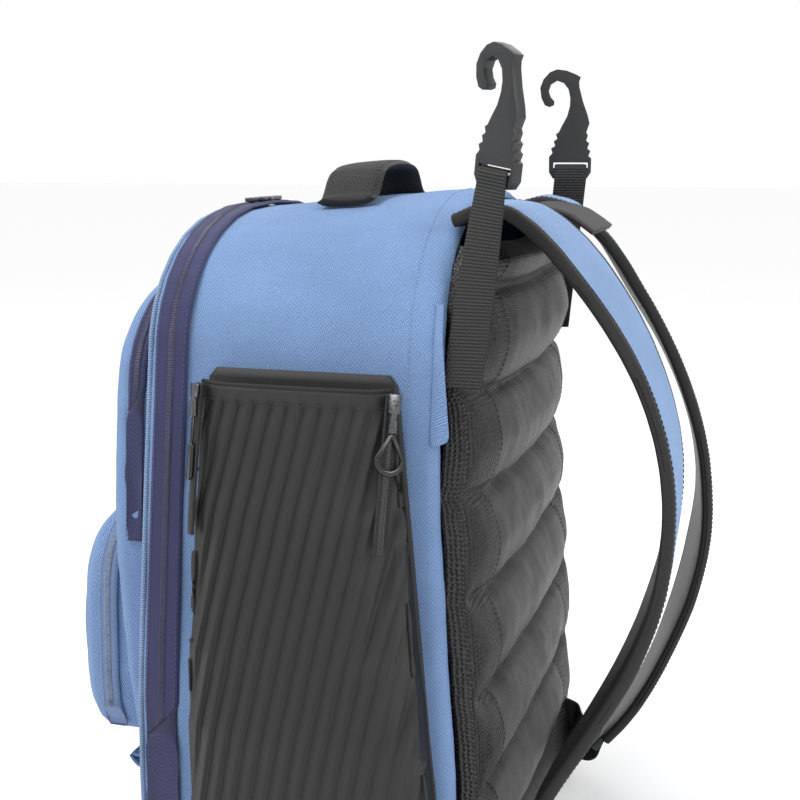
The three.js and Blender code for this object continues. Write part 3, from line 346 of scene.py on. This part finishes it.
def cloth(name, grid, inside, materials, paint=None, wall=2 * MM, closed=False, cap=False):
    """A grid primitive laid over rows of points, faced away from inside, with a wall in it.

    Its UV map holds the lengths along the cloth in metres.
    """
    rows, columns = grid.shape[:2]
    bpy.ops.object.select_all(action="DESELECT")
    bpy.ops.mesh.primitive_grid_add(x_subdivisions=columns - 1, y_subdivisions=rows - 1, size=2)
    piece = bpy.context.object
    piece.name = name
    mesh = piece.data
    flat = np.empty(len(mesh.vertices) * 3)
    mesh.vertices.foreach_get("co", flat)
    flat = flat.reshape(-1, 3)
    column = np.rint((flat[:, 0] + 1) / 2 * (columns - 1)).astype(int)
    row = np.rint((flat[:, 1] + 1) / 2 * (rows - 1)).astype(int)
    mesh.vertices.foreach_set("co", grid[row, column].ravel())
    across = np.linalg.norm(np.diff(grid, axis=1), axis=2).mean(0)
    along = np.linalg.norm(np.diff(grid, axis=0), axis=2).mean(1)
    u = np.concatenate([[0], np.cumsum(across)])
    v = np.concatenate([[0], np.cumsum(along)])
    corner = np.empty(len(mesh.loops), int)
    mesh.loops.foreach_get("vertex_index", corner)
    places = np.stack([u[column[corner]], v[row[corner]]], 1)
    mesh.uv_layers.active.data.foreach_set("uv", places.ravel())
    for material in materials:
        mesh.materials.append(material)
    if paint is not None:
        for face in mesh.polygons:
            k = face.vertices[0]
            face.material_index = paint(row[k] / (rows - 1), column[k] / (columns - 1))
    mesh.update()
    mesh_edit = bmesh.new()
    mesh_edit.from_mesh(mesh)
    if closed:
        bmesh.ops.remove_doubles(mesh_edit, verts=mesh_edit.verts, dist=1e-5)
    if cap:
        bmesh.ops.holes_fill(mesh_edit, edges=mesh_edit.edges, sides=0)
        bmesh.ops.recalc_face_normals(mesh_edit, faces=mesh_edit.faces)
    else:
        mesh_edit.normal_update()
        side = sum(f.normal.dot(f.calc_center_median() - Vector(inside)) for f in mesh_edit.faces)
        if side < 0:
            bmesh.ops.reverse_faces(mesh_edit, faces=mesh_edit.faces)
    mesh_edit.to_mesh(mesh)
    mesh_edit.free()
    if wall and not cap:
        thick = piece.modifiers.new("wall", "SOLIDIFY")
        thick.thickness = wall
        thick.offset = -1
        bpy.ops.object.modifier_apply(modifier=thick.name)
    bpy.ops.object.shade_smooth()
    return piece


def hand_over(piece, slot, *replaced):
    """The piece rides with the bag and stands for solid nodes; its slot is not used."""
    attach(piece, "root")
    if replaced:
        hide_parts(*replaced)
    return piece


def ripple(grid, normal, height, length, seed=0.0):
    """Moves the points of a grid along a direction by smooth noise of a height and a length."""
    flat = grid.reshape(-1, 3)
    lift = np.array([noise.noise(Vector(p) / length + Vector((seed, seed, seed))) for p in flat])
    return grid + (lift[:, None] * height * normal.reshape(-1, 3)).reshape(grid.shape)


def normals_of(grid, inside):
    """Unit directions off the surface of a grid, away from the point inside."""
    du = np.gradient(grid, axis=1)
    dv = np.gradient(grid, axis=0)
    n = np.cross(du, dv)
    n /= np.maximum(np.linalg.norm(n, axis=2, keepdims=True), 1e-12)
    away = (n * (grid - np.array(inside))).sum(2).mean()
    return n if away > 0 else -n


# Bag body: gusset, base and back wall
# One long strip of the weave runs over the sides and top, sewn to a base and a back wall. The
# cloth is soft, dips a little between its seams and keeps a 2 mm wall. The front ring of the
# solid gives its outline; the back seam lies where a level line meets the back wall.
AROUND = 240
SHOULDER = body_low.z + 392 * MM
BACK_EDGE = 10 * MM
BACK_INSET = 7.5 * MM
front_rings = [outline_of(r) for r in rings_of("front_shell", (0, -1, 0))][:4]
zip_outline = resample(front_rings[3], AROUND + 1, 14 * MM, closed=True)


def solid_tree(node):
    """A tree of a solid's faces, for measuring on its surface."""
    mesh = nodes[node].data
    return BVHTree.FromPolygons([v.co for v in mesh.vertices], [p.vertices for p in mesh.polygons])


shell_tree = solid_tree("main_shell")
levels = np.linspace(body_low.z + MM, body_high.z - 8 * MM, 80)
back_hits = [shell_tree.ray_cast(Vector((0.01, 0.5, z)), Vector((0, -1, 0)))[0].y for z in levels]
zip_slope, zip_start = np.polyfit(zip_outline[:, 2], zip_outline[:, 1], 1)


def seam_y(z, share):
    """Place front to back at a height: share 0 is at the main zip, 1 at the back seam."""
    front = zip_slope * z + zip_start
    return front + (np.interp(z, levels, back_hits) - front) * share


def body_ring(share, inset=0.0):
    """The body's outline at a share of its depth, drawn in by an inset."""
    ring = zip_outline.copy()
    crown = 1 + share * (body_high.z - zip_outline[:, 2].max()) / (zip_outline[:, 2].max() - SHOULDER)
    ring[:, 2] = np.where(ring[:, 2] > SHOULDER, SHOULDER + (ring[:, 2] - SHOULDER) * crown, ring[:, 2])
    run = np.gradient(ring[:, [0, 2]], axis=0)
    out = np.stack([run[:, 1], -run[:, 0]], 1)
    out /= np.linalg.norm(out, axis=1, keepdims=True)
    if (out * (ring[:, [0, 2]] - ring[:, [0, 2]].mean(0))).sum() < 0:
        out = -out
    out = resample(out, len(out))
    ring[:, [0, 2]] -= out * inset
    ring[:, 1] = seam_y(ring[:, 2], share)
    return ring


body_depth = body_high.y - body_low.y
edge_share = BACK_EDGE / body_depth
straight = [body_ring(s) for s in np.linspace(0.001, 1 - edge_share, 46)]
turned = [
    body_ring(1 - edge_share * (1 - math.sin(a)), BACK_INSET * (1 - math.cos(a)))
    for a in np.linspace(0.15, math.pi / 2, 7)
]
body_grid = np.array(straight + turned)
body_inside = tuple(middle)
body_normal = normals_of(body_grid, body_inside)
body_grid = ripple(body_grid, body_normal, 1.6 * MM, 70 * MM)
body_grid = ripple(body_grid, body_normal, 0.5 * MM, 16 * MM, 7.0)
bag_body = cloth("bag_body", body_grid, body_inside, [blue_weave], closed=True)
hand_over(bag_body, "blue_weave", "main_shell")

# Front shell, front compartment and lower pocket
# Each is a shallow tub of the weave sewn on the one behind it, soft at the edges and slightly
# puffed. A rounded edge carries light-blue braided piping where the zip bands meet the front.


def to_centre(ring, steps):
    """Rings that carry an outline on to the middle of its face."""
    centre = ring.mean(0)
    shares = np.cos(np.linspace(0, math.pi / 2, steps + 1))[1:]
    return [centre + (ring - centre) * max(s, 0.01) for s in shares]


def deepen(rings, count, window=0.0):
    """Adds rings between the given ones, evenly along the depth."""
    lines = [resample(rings[:, k], count, window) for k in range(rings.shape[1])]
    return np.stack(lines, 1)


def tub(name, node, outer_count, puff, rows=20):
    """Soft tub over a lofted node: its outer rings, then the front face."""
    outer = [resample(outline_of(r), AROUND + 1, 10 * MM, closed=True) for r in rings_of(node, (0, -1, 0))]
    wall = deepen(np.array(outer[:outer_count][::-1]), rows, 4 * MM)
    face = np.array(to_centre(wall[-1], 20))
    spread = np.linspace(0, math.pi, len(face))[:, None]
    face[:, :, 1] -= puff * np.sin(spread / 2) ** 2
    grid = np.vstack([wall, face])
    inside = tuple(middle)
    grid = ripple(grid, normals_of(grid, inside), 1.2 * MM, 60 * MM, 3.0)
    grid = ripple(grid, normals_of(grid, inside), 0.4 * MM, 15 * MM, 5.0)
    piece = cloth(name, grid, inside, [blue_weave], closed=True)
    return hand_over(piece, "blue_weave", node), grid


front_wall, front_grid = tub("front_wall", "front_shell", 4, 0.0)
compartment, compartment_grid = tub("compartment", "front_compartment", 4, 2 * MM)
pocket, pocket_grid = tub("pocket", "lower_pocket", 5, 4 * MM)


def tube(name, path, radius, material, sides=10, closed=False):
    """Round cord along a path of points."""
    run = np.gradient(path, axis=0)
    run /= np.linalg.norm(run, axis=1, keepdims=True)
    first = np.cross(run, (0, 1, 0) if abs(run[:, 1]).max() < 0.95 else (0.3, 0.2, 1))
    first /= np.linalg.norm(first, axis=1, keepdims=True)
    second = np.cross(run, first)
    angles = np.linspace(0, 2 * math.pi, sides + 1)
    grid = np.array(
        [path + radius * (math.cos(a) * first + math.sin(a) * second) for a in angles]
    ).transpose(1, 0, 2)
    return cloth(name, grid, path.mean(0), [material], wall=0, closed=True, cap=not closed)


PIPING_RADIUS = 1.9 * MM
# the braid's darker grooves are painted shade and its lighter crests a painted highlight
piping_weave = ribbed("light-blue braided piping", "#48648f", "#93abc9", 1.6 * MM, 1.6 * MM, depth=0.0006)


def above(z, path):
    """The stretch of a closed outline that lies above a height."""
    start = int(np.argmin(path[:, 2]))
    turned_path = np.roll(path[:-1], -start, axis=0)
    return turned_path[turned_path[:, 2] > z]


edge_ring = front_rings[1].copy()
edge_path = resample(edge_ring, 700, 10 * MM, closed=True)
edge_path[:, 1] -= 0.6 * MM
edge_piping = tube("edge_piping", edge_path, PIPING_RADIUS, piping_weave, closed=True)
hand_over(edge_piping, "blue_weave")

# Zips
# Woven tape with a nylon coil down its middle. The tape is sewn down along both edges with a
# row of thread, and the coil's loops stand 1.5 mm apart.
COIL_PITCH = 1.5 * MM
SIDES = 5  # of a stitch


def stations_of(node, toward, count, window=0.0, face=(0, 0, 1)):
    """Centre, half-width and half-thickness directions along a banded node."""
    found = []
    for ring in rings_of(node, toward):
        centre = (ring.max(0) + ring.min(0)) / 2
        centre = ring.mean(0)
        _, _, axes = np.linalg.svd(ring - centre)
        side = axes[0] * np.abs((ring - centre) @ axes[0]).max()
        thick = axes[1] * np.abs((ring - centre) @ axes[1]).max()
        if found:
            side = side if side @ found[-1][3:6] > 0 else -side
            thick = thick if thick @ found[-1][6:9] > 0 else -thick
        elif thick @ np.array(face) < 0:
            thick = -thick
        found.append(np.concatenate([centre, side, thick]))
    made = resample(np.array(found), count, window)
    return made[:, :3], made[:, 3:6], made[:, 6:9]


def band(name, stations, materials, top, bottom=None, columns=48, paint=None, soft=0.0):
    """Closed band: top and bottom give its height, a share, at each place across, -1 to 1."""
    centre, side, thick = stations
    across = np.sin(np.linspace(-math.pi / 2, math.pi / 2, columns))
    under = bottom or top
    upper = centre[:, None] + side[:, None] * across[None, :, None]
    upper = upper + thick[:, None] * top(across)[None, :, None]
    back = across[::-1]
    lower = centre[:, None] + side[:, None] * back[None, :, None]
    lower = lower - thick[:, None] * under(back)[None, :, None]
    grid = np.concatenate([upper, lower[:, 1:]], 1)
    if soft:
        normal = normals_of(grid, tuple(centre.mean(0)))
        grid = ripple(grid, normal, soft, 45 * MM, 2.0)
    return cloth(name, grid, tuple(centre.mean(0)), materials, paint, closed=True, cap=True)


def flat_section(across):
    """Square-edged section of tape or webbing with soft corners."""
    return (1 - np.abs(across) ** 16) ** 0.5


def coil(name, stations, width, height, material):
    """Coil: a low ridge of loops along the middle of the tape."""
    centre, side, thick = stations
    length = np.linalg.norm(np.diff(centre, axis=0), axis=1).sum()
    count = int(length / COIL_PITCH * 4)
    packed = resample(np.hstack(stations), count)
    centre, side, thick = packed[:, :3], packed[:, 3:6], packed[:, 6:9]
    side = side / np.linalg.norm(side, axis=1, keepdims=True)
    up = thick / np.linalg.norm(thick, axis=1, keepdims=True)
    tape = np.linalg.norm(thick, axis=1)[:, None]
    run = np.linspace(0, length, count)
    across = np.linspace(-1, 1, 9)
    loops = 0.68 + 0.32 * np.cos(2 * math.pi * run[:, None] / COIL_PITCH + 1.6 * across[None] ** 2)
    groove = 1 - 0.45 * np.exp(-((across / 0.16) ** 2))
    lift = height * np.sqrt(1 - across**2) * groove * loops
    grid = centre[:, None] + side[:, None] * (across * width / 2)[None, :, None]
    grid = grid + up[:, None] * (tape + lift)[:, :, None]
    return cloth(name, grid, centre.mean(0), [material], wall=0)


def stitches(name, path, normal, material, length=2.6 * MM, pitch=3.6 * MM, radius=0.35 * MM):
    """Row of thread stitches: small rounded dashes laid along a path."""
    run_length = np.linalg.norm(np.diff(path, axis=0), axis=1).sum()
    count = max(int(run_length / pitch), 2)
    packed = resample(np.hstack([path, normal]), count * 4)
    ahead = np.gradient(packed[:, :3], axis=0)
    ahead /= np.maximum(np.linalg.norm(ahead, axis=1, keepdims=True), 1e-9)
    up = packed[:, 3:6] / np.linalg.norm(packed[:, 3:6], axis=1, keepdims=True)
    side = np.cross(ahead, up)
    ends = [(-1.0, 0.2), (-0.5, 1.0), (0.5, 1.0), (1.0, 0.2)]
    sides = [(math.cos(a), math.sin(a)) for a in np.linspace(0, 2 * math.pi, SIDES + 1)[:-1]]
    points, faces = [], []
    for k in range(1, count * 4, 4):
        first = len(points)
        for at, fat in ends:
            for x, y in sides:
                point = packed[k, :3] + ahead[k] * at * length / 2
                points.append(point + (side[k] * x + up[k] * (y + 0.3)) * radius * fat)
        for e in range(len(ends) - 1):
            for s in range(SIDES):
                a, b = first + e * SIDES + s, first + e * SIDES + (s + 1) % SIDES
                faces.append((a, b, b + SIDES, a + SIDES))
        faces.append(tuple(first + s for s in range(SIDES - 1, -1, -1)))
        faces.append(tuple(first + (len(ends) - 1) * SIDES + s for s in range(SIDES)))
    mesh = bpy.data.meshes.new(name)
    mesh.from_pydata([tuple(p) for p in points], [], faces)
    mesh.uv_layers.new()
    mesh.materials.append(material)
    piece = bpy.data.objects.new(name, mesh)
    bpy.context.scene.collection.objects.link(piece)
    for face in mesh.polygons:
        face.use_smooth = True
    return piece


def edge_rows(stations, inset, lift):
    """The two lines along a band at an inset from its edges, on its upper face."""
    centre, side, thick = stations
    wide = np.linalg.norm(side, axis=1, keepdims=True)
    top = centre + thick * lift
    return [top + side * (1 - inset / wide) * sign for sign in (-1, 1)]


def zip_band(node, toward, tape, nylon, slot, coil_width=5 * MM, coil_height=1.4 * MM, count=400):
    """Tape, coil and edge stitching of one zip."""
    outward = np.array(toward)
    stations = stations_of(node, toward, count, 12 * MM, outward)
    name = node.replace("_zip", "")
    tape_piece = band(name + "_zip_tape", stations, [tape], flat_section, columns=10)
    hand_over(tape_piece, slot, node)
    away = (stations[2] * (stations[0] - np.array(middle))).sum()
    thick = stations[2] if away > 0 else -stations[2]
    stations = (stations[0], stations[1], thick)
    hand_over(coil(name + "_zip_coil", stations, coil_width, coil_height, nylon), slot)
    for k, line in enumerate(edge_rows(stations, 2.2 * MM, 1.02)):
        sewn = stitches(f"{name}_zip_seam_{k}", line, thick, navy_thread if slot == "navy_tape" else pale_thread)
        hand_over(sewn, slot)
    return stations


# the thread's lighter crests are a painted highlight and its grooves painted shade
navy_thread = ribbed("navy bonded thread", "#23254c", "#55588c", 0.4 * MM, 0, 0.6, 0.0001)
main_stations = zip_band("main_zip", (1, 0, -0.2), navy_tape, navy_nylon, "navy_tape", count=600)
front_stations = zip_band("front_zip", (1, 0, -0.2), navy_tape, navy_nylon, "navy_tape")
pocket_stations = zip_band("pocket_zip", (1, 0, -0.2), pale_tape, pale_nylon, "pale_tape")

# Hard parts
# Hooks, ladder locks, sliders and pulls are moulded or cast: the solid's own shape with its
# edges rounded over.


def rounded(node, name, material, slot, edge, segments=3, angle=28):
    """A copy of a hard solid with rounded edges."""
    piece = nodes[node].copy()
    piece.data = nodes[node].data.copy()
    piece.name = name
    piece.parent = None
    bpy.context.scene.collection.objects.link(piece)
    piece.matrix_world = nodes[node].matrix_world
    bpy.ops.object.select_all(action="DESELECT")
    piece.select_set(True)
    bpy.context.view_layer.objects.active = piece
    bpy.ops.object.mode_set(mode="EDIT")
    bpy.ops.mesh.select_all(action="SELECT")
    bpy.ops.mesh.remove_doubles(threshold=2e-6)
    bpy.ops.mesh.dissolve_limited(angle_limit=math.radians(2))
    bpy.ops.object.mode_set(mode="OBJECT")
    soft = piece.modifiers.new("edge", "BEVEL")
    soft.width = edge
    soft.segments = segments
    soft.angle_limit = math.radians(angle)
    soft.use_clamp_overlap = True
    bpy.ops.object.modifier_apply(modifier=soft.name)
    bpy.ops.object.shade_smooth_by_angle(angle=math.radians(40))
    piece.data.materials.clear()
    piece.data.materials.append(material)
    return hand_over(piece, slot, node)


for side_name in ("right", "left"):
    rounded(f"fence_hook_{side_name}", f"moulded_hook_{side_name}", abs_plastic, "black_plastic", 1.3 * MM)
    rounded(f"ladder_lock_{side_name}", f"moulded_lock_{side_name}", abs_plastic, "black_plastic", 0.8 * MM)
    for row in ("front", "rear"):
        rounded(f"sleeve_{row}_slider_{side_name}", f"cast_{row}_slider_{side_name}", plated_metal,
                "dark_metal", 0.5 * MM, 2)
        rounded(f"sleeve_{row}_pull_{side_name}", f"{row}_pull_{side_name}_moulded", gloss_plastic,
                "black_plastic", 0.5 * MM, 2)
    rounded(f"main_slider_{side_name}", f"cast_main_slider_{side_name}", plated_metal, "dark_metal",
            0.5 * MM, 2)
rounded("front_slider", "cast_front_slider", plated_metal, "dark_metal", 0.5 * MM, 2)
rounded("pocket_slider", "cast_pocket_slider", plated_metal, "dark_metal", 0.5 * MM, 2)

# Shoulder straps
# Foam between a blue woven face and a mesh lining, both edges bound with grosgrain that stands
# a little over the face and is sewn down with one row of thread.
BINDING = 0.2  # share of the strap's half-width under the binding


def strap_top(across):
    """Padded face between the bindings, which are a little thinner and rounded."""
    inner = np.clip((1 - BINDING - np.abs(across)) / 0.25, 0, 1)
    edge = np.sqrt(np.clip(1 - ((np.abs(across) - (1 - BINDING)).clip(0) / BINDING) ** 6, 0, 1))
    return np.where(np.abs(across) < 1 - BINDING, 0.84 + 0.22 * np.sqrt(inner), 0.92 * edge)


def strap_paint(row, column):
    """Face, binding or lining by the place round the section."""
    place = column * 2 if column < 0.5 else 2 - column * 2
    across = abs(math.sin((place - 0.5) * math.pi))
    if across > 1 - BINDING:
        return 1
    return 0 if column < 0.5 else 2


def strap(side_name):
    """One padded strap and its two rows of thread."""
    stations = stations_of(f"shoulder_strap_{side_name}", (0, 0, 1), 150, 14 * MM, (0, 0, 1))
    piece = band(f"padded_strap_{side_name}", stations, [strap_blue, grosgrain, padding], strap_top,
                 columns=48, paint=strap_paint, soft=0.5 * MM)
    hand_over(piece, "blue_weave", f"shoulder_strap_{side_name}")
    for k, line in enumerate(edge_rows(stations, 5.2 * MM, 0.93)):
        hand_over(stitches(f"strap_seam_{side_name}_{k}", line, stations[2], thread), "black_webbing")


strap("right")
strap("left")

# Bands of webbing
# The yoke, grab handle, hook webbing, lower webbing, side wings and pocket tab are flat woven
# bands. The handle is padded, and each has its own pattern.


def plain_band(node, name, toward, material, slot, face, count=90, window=6 * MM, section=flat_section):
    """A woven band over a banded node."""
    stations = stations_of(node, toward, count, window, face)
    piece = band(name, stations, [material], section, columns=16)
    hand_over(piece, slot, node)
    return stations


def handle_section(across):
    """Padded in the middle and flat at its bound edges."""
    return 0.45 + 0.55 * np.sqrt(np.clip(1 - (np.abs(across) / 0.86) ** 4, 0, 1)) - 0.45 * np.abs(across) ** 20


plain_band("strap_yoke", "ribbed_yoke", (0, -1, 0), grosgrain, "black_webbing", (0, 0, 1))
handle_stations = plain_band("grab_handle", "padded_handle", (1, 0, -1), webbing, "black_webbing",
                             (0, 0, 1), 160, 8 * MM, handle_section)
for k, line in enumerate(edge_rows(handle_stations, 4 * MM, 0.7)):
    hand_over(stitches(f"handle_seam_{k}", line, handle_stations[2], thread), "black_webbing")
plain_band("pocket_tab", "folded_tab", (0, 0, 1), blue_weave, "blue_weave", (0, -1, 0), 60, 2 * MM)
for side_name, sign in (("right", 1), ("left", -1)):
    plain_band(f"fence_webbing_{side_name}", f"hook_webbing_{side_name}", (0, 0, 1), webbing,
               "black_webbing", (sign, 0, 0), 120, 3 * MM)
    plain_band(f"lower_webbing_{side_name}", f"end_webbing_{side_name}", (0, 0, 1), webbing,
               "black_webbing", (0, 1, 0), 60, 3 * MM)
    plain_band(f"strap_wing_{side_name}", f"bound_wing_{side_name}", (0, -1, 0), padding,
               "black_mesh", (sign, 0, 0), 80, 5 * MM)


def flap(side_name, sign):
    """Cloth flap over the webbing's root, folded at its edges."""
    rings = rings_of(f"webbing_flap_{side_name}", (0, 0, 1))
    rows = []
    for ring in rings:
        centre = ring.mean(0)
        angle = np.arctan2((ring[:, 1] - centre[1]) * 0.4, (ring[:, 0] - centre[0]) * sign)
        rows.append(resample(ring[np.argsort(angle)], 49, 1.5 * MM, closed=True))
    grid = deepen(np.array(rows), 90, 6 * MM)
    centre = tuple(grid.reshape(-1, 3).mean(0))
    piece = cloth(f"folded_flap_{side_name}", grid, centre, [blue_weave], closed=True, cap=True)
    hand_over(piece, "blue_weave", f"webbing_flap_{side_name}")


flap("right", 1)
flap("left", -1)

# Bat sleeves
# Stretchy neoprene pleated from mouth to foot, sewn over a flat backing that shows above the
# lip. The solid gives the sleeve's swell; the pleats are folded again here, rounder and finer.
PLEAT = 10.8 * MM
PLEAT_DEPTH = 3.2 * MM
PLEAT_SLANT = 0.2  # towards the back for each length up
HEM = 9 * MM
SLEEVE_MOUTH = body_low.z + 384 * MM


def sleeve(side_name, sign):
    """Pleated front, backing and hem of one sleeve."""
    node = f"bat_sleeve_{side_name}"
    low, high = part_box(node)
    tree = solid_tree(node)
    foot = low.z + 0.5 * MM
    heights = np.concatenate([np.linspace(foot, foot + 8 * MM, 6)[:-1],
                              np.linspace(foot + 8 * MM, SLEEVE_MOUTH - MM, 105)])
    scan = np.arange(low.y, high.y, MM)
    outward = Vector((sign, 0, 0))
    wall = float(np.median([abs(body_ring(0.5)[:, 0]).max()]))

    def reach(y, z):
        """How far out the solid sleeve stands at a place on the side of the bag."""
        hit = tree.ray_cast(outward * 0.5 + Vector((0, y, z)), -outward)[0]
        return abs(hit.x) if hit is not None else None

    samples = []
    for z in np.linspace(foot + 3 * MM, SLEEVE_MOUTH - 4 * MM, 24):
        found = [y for y in scan if reach(y, z) is not None]
        samples.append((z, min(found), max(found)))
    samples = np.array(samples)
    front_line = np.polyfit(samples[:, 0], samples[:, 1], 2)
    rear_line = np.polyfit(samples[:, 0], samples[:, 2], 2)
    across = np.sin(np.linspace(-math.pi / 2, math.pi / 2, 181)) / 2 + 0.5
    rows = []
    for z in heights:
        front, rear = np.polyval(front_line, z) + MM, np.polyval(rear_line, z) - MM
        places = front + (rear - front) * across
        out, last = [], None
        for y in places:
            last = reach(y, min(max(z, foot + 2 * MM), SLEEVE_MOUTH - 3 * MM)) or last or wall + 4 * MM
            out.append(last)
        even = np.linspace(front, rear, 400)
        level = np.interp(even, places, out)
        width = int(PLEAT / (rear - front) * 400)
        smooth = np.convolve(np.pad(level, width // 2, "edge"), np.ones(width) / width, "same")
        smooth = smooth[width // 2:width // 2 + 400]
        out = np.interp(places, even, smooth)
        side = np.interp(z, levels, [wall] * len(levels))
        edge = np.minimum((places - front), (rear - places))
        fold = ((places - PLEAT_SLANT * (z - foot) - low.y) / PLEAT) % 1
        ridge = np.where(fold < 0.8, (fold / 0.8) ** 0.8, ((1 - fold) / 0.2) ** 1.5)
        fade = np.clip((SLEEVE_MOUTH - HEM - z) / (4 * MM), 0, 1) * np.clip(edge / (7 * MM), 0, 1)
        out = out + PLEAT_DEPTH * (ridge - 0.8) * fade - 0.8 * MM
        line = np.stack([sign * out, places, np.full_like(out, z)], 1)
        start = line[0] + np.array([0, 0, 0])
        end = line[-1] + np.array([0, 0, 0])
        inner = min(side, out.min()) - 0.5 * MM
        start[0], end[0] = sign * inner, sign * inner
        rows.append(np.vstack([[start], line, [end]]))
    grid = np.array(rows)
    inside = (0, float(grid[..., 1].mean()), float(middle.z))
    grid = ripple(grid, normals_of(grid, inside), 0.8 * MM, 50 * MM, 4.0)
    grid = ripple(grid, normals_of(grid, inside), 0.25 * MM, 9 * MM, 9.0)
    front_piece = cloth(f"pleated_sleeve_{side_name}", grid, inside, [knit], wall=2 * MM)
    hand_over(front_piece, "neoprene", node)
    lip = grid[-4, 2:-2] + np.array([sign * 0.2 * MM, 0, 0])
    hem_line = stitches(f"hem_seam_{side_name}", lip, np.tile((sign, 0, 0.0), (len(lip), 1)), thread)
    hand_over(hem_line, "black_webbing")
    hem_path = grid[-1, 2:-2] - np.array([sign * MM, 0, 0])
    roll = tube(f"hem_roll_{side_name}", resample(hem_path, 160), 1.4 * MM, grosgrain)
    hand_over(roll, "neoprene")
    backing_rows = []
    for z in np.linspace(foot, high.z, 60):
        front, rear = np.polyval(front_line, min(z, SLEEVE_MOUTH)), np.polyval(rear_line, min(z, SLEEVE_MOUTH))
        corner = 5 * MM
        cut = corner - math.sqrt(max(corner**2 - max(z - (high.z - corner), 0) ** 2, 0))
        places = np.linspace(front + cut, rear - cut, 40)
        hits = []
        for y in places:
            hit = shell_tree.ray_cast(outward * 0.5 + Vector((0, y, z)), -outward)[0]
            hits.append(abs(hit.x) + 1.6 * MM if hit is not None else wall)
        backing_rows.append(np.stack([sign * np.array(hits), places, np.full(40, z)], 1))
    backing = cloth(f"sleeve_backing_{side_name}", np.array(backing_rows), inside, [knit], wall=1.2 * MM)
    hand_over(backing, "neoprene")


sleeve("right", 1)
sleeve("left", -1)
for side_name, sign in (("right", 1), ("left", -1)):
    for row in ("front", "rear"):
        node = f"sleeve_{row}_zip_{side_name}"
        stations = stations_of(node, (0, 0, 1), 120, 4 * MM, (sign, 0, 0))
        tape = band(f"sleeve_{row}_tape_{side_name}", stations, [grosgrain], flat_section, columns=16)
        hand_over(tape, "neoprene", node)
        chain = coil(f"sleeve_{row}_coil_{side_name}", stations, 4 * MM, 1.3 * MM, black_nylon)
        hand_over(chain, "neoprene")

# Back pad
# Foam lobes under ribbed air mesh, pressed in along curved creases. Open spacer mesh covers
# the pad's sides, and its edge is sewn to the back of the bag.
PAD_COLUMNS = 120
LOBE_PITCH = 66 * MM
FIRST_CREASE = 52 * MM
CREASE_SAG = 10 * MM
CREASE_DEPTH = 5 * MM
CREASE_WIDTH = 5 * MM
pad_rings = sorted(rings_of("back_pad", (0, 0, 1)), key=lambda ring: ring[:, 2].mean())
pad_rows = []
for ring in pad_rings:
    ordered = ring[np.argsort(ring[:, 1])]
    corners = ordered[:2][np.argsort(ordered[:2, 0])]
    face = ordered[2:][np.argsort(ordered[2:, 0])]
    line = np.vstack([corners[:1], face, corners[1:]])
    pad_rows.append(resample(line, PAD_COLUMNS, 9 * MM))
pad_grid = deepen(np.array(pad_rows), 240, 5 * MM)
pad_inside = (0, float(pad_grid[..., 1].min()) - 0.05, float(middle.z))
half_pad = np.abs(pad_grid[..., 0]).max()
sagged = pad_grid[..., 2] - body_low.z + CREASE_SAG * (1 - (pad_grid[..., 0] / half_pad) ** 2)
from_crease = (sagged - FIRST_CREASE + LOBE_PITCH / 2) % LOBE_PITCH - LOBE_PITCH / 2
inner_part = np.clip((half_pad - np.abs(pad_grid[..., 0])) / (25 * MM), 0, 1)
pad_grid[..., 1] -= CREASE_DEPTH * np.exp(-((from_crease / CREASE_WIDTH) ** 2)) * inner_part
pad_grid[..., 1] += 2 * MM * np.cos(from_crease / LOBE_PITCH * 2 * math.pi + math.pi) * inner_part
PAD_SIDE = 0.17  # share of the width on each side under spacer mesh
pad_grid = ripple(pad_grid, normals_of(pad_grid, pad_inside), 1.6 * MM, 34 * MM, 6.0)
pad_grid = ripple(pad_grid, normals_of(pad_grid, pad_inside), 0.5 * MM, 12 * MM, 8.0)
pad = cloth(
    "lobed_pad", pad_grid, pad_inside, [padding, open_mesh],
    lambda row, column: 1 if column < PAD_SIDE or column > 1 - PAD_SIDE else 0, wall=2 * MM,
)
hand_over(pad, "black_mesh", "back_pad")
pad_normal = normals_of(pad_grid, pad_inside)
for k, column in enumerate((int(PAD_COLUMNS * PAD_SIDE), int(PAD_COLUMNS * (1 - PAD_SIDE)))):
    sewn = stitches(f"pad_seam_{k}", pad_grid[8:-8, column], pad_normal[8:-8, column], thread)
    hand_over(sewn, "black_mesh")

# Seam of the gusset
# One row of blue thread runs round the body just in front of its back seam.
seam = body_grid[42]
seam_normal = normals_of(body_grid, body_inside)[42]
shown = seam[:, 2] > body_low.z + 15 * MM
start = int(np.argmin(shown))
order = np.roll(np.arange(len(seam) - 1), -start)
order = order[shown[order]]
hand_over(stitches("gusset_seam", seam[order], seam_normal[order], pale_thread), "blue_weave")
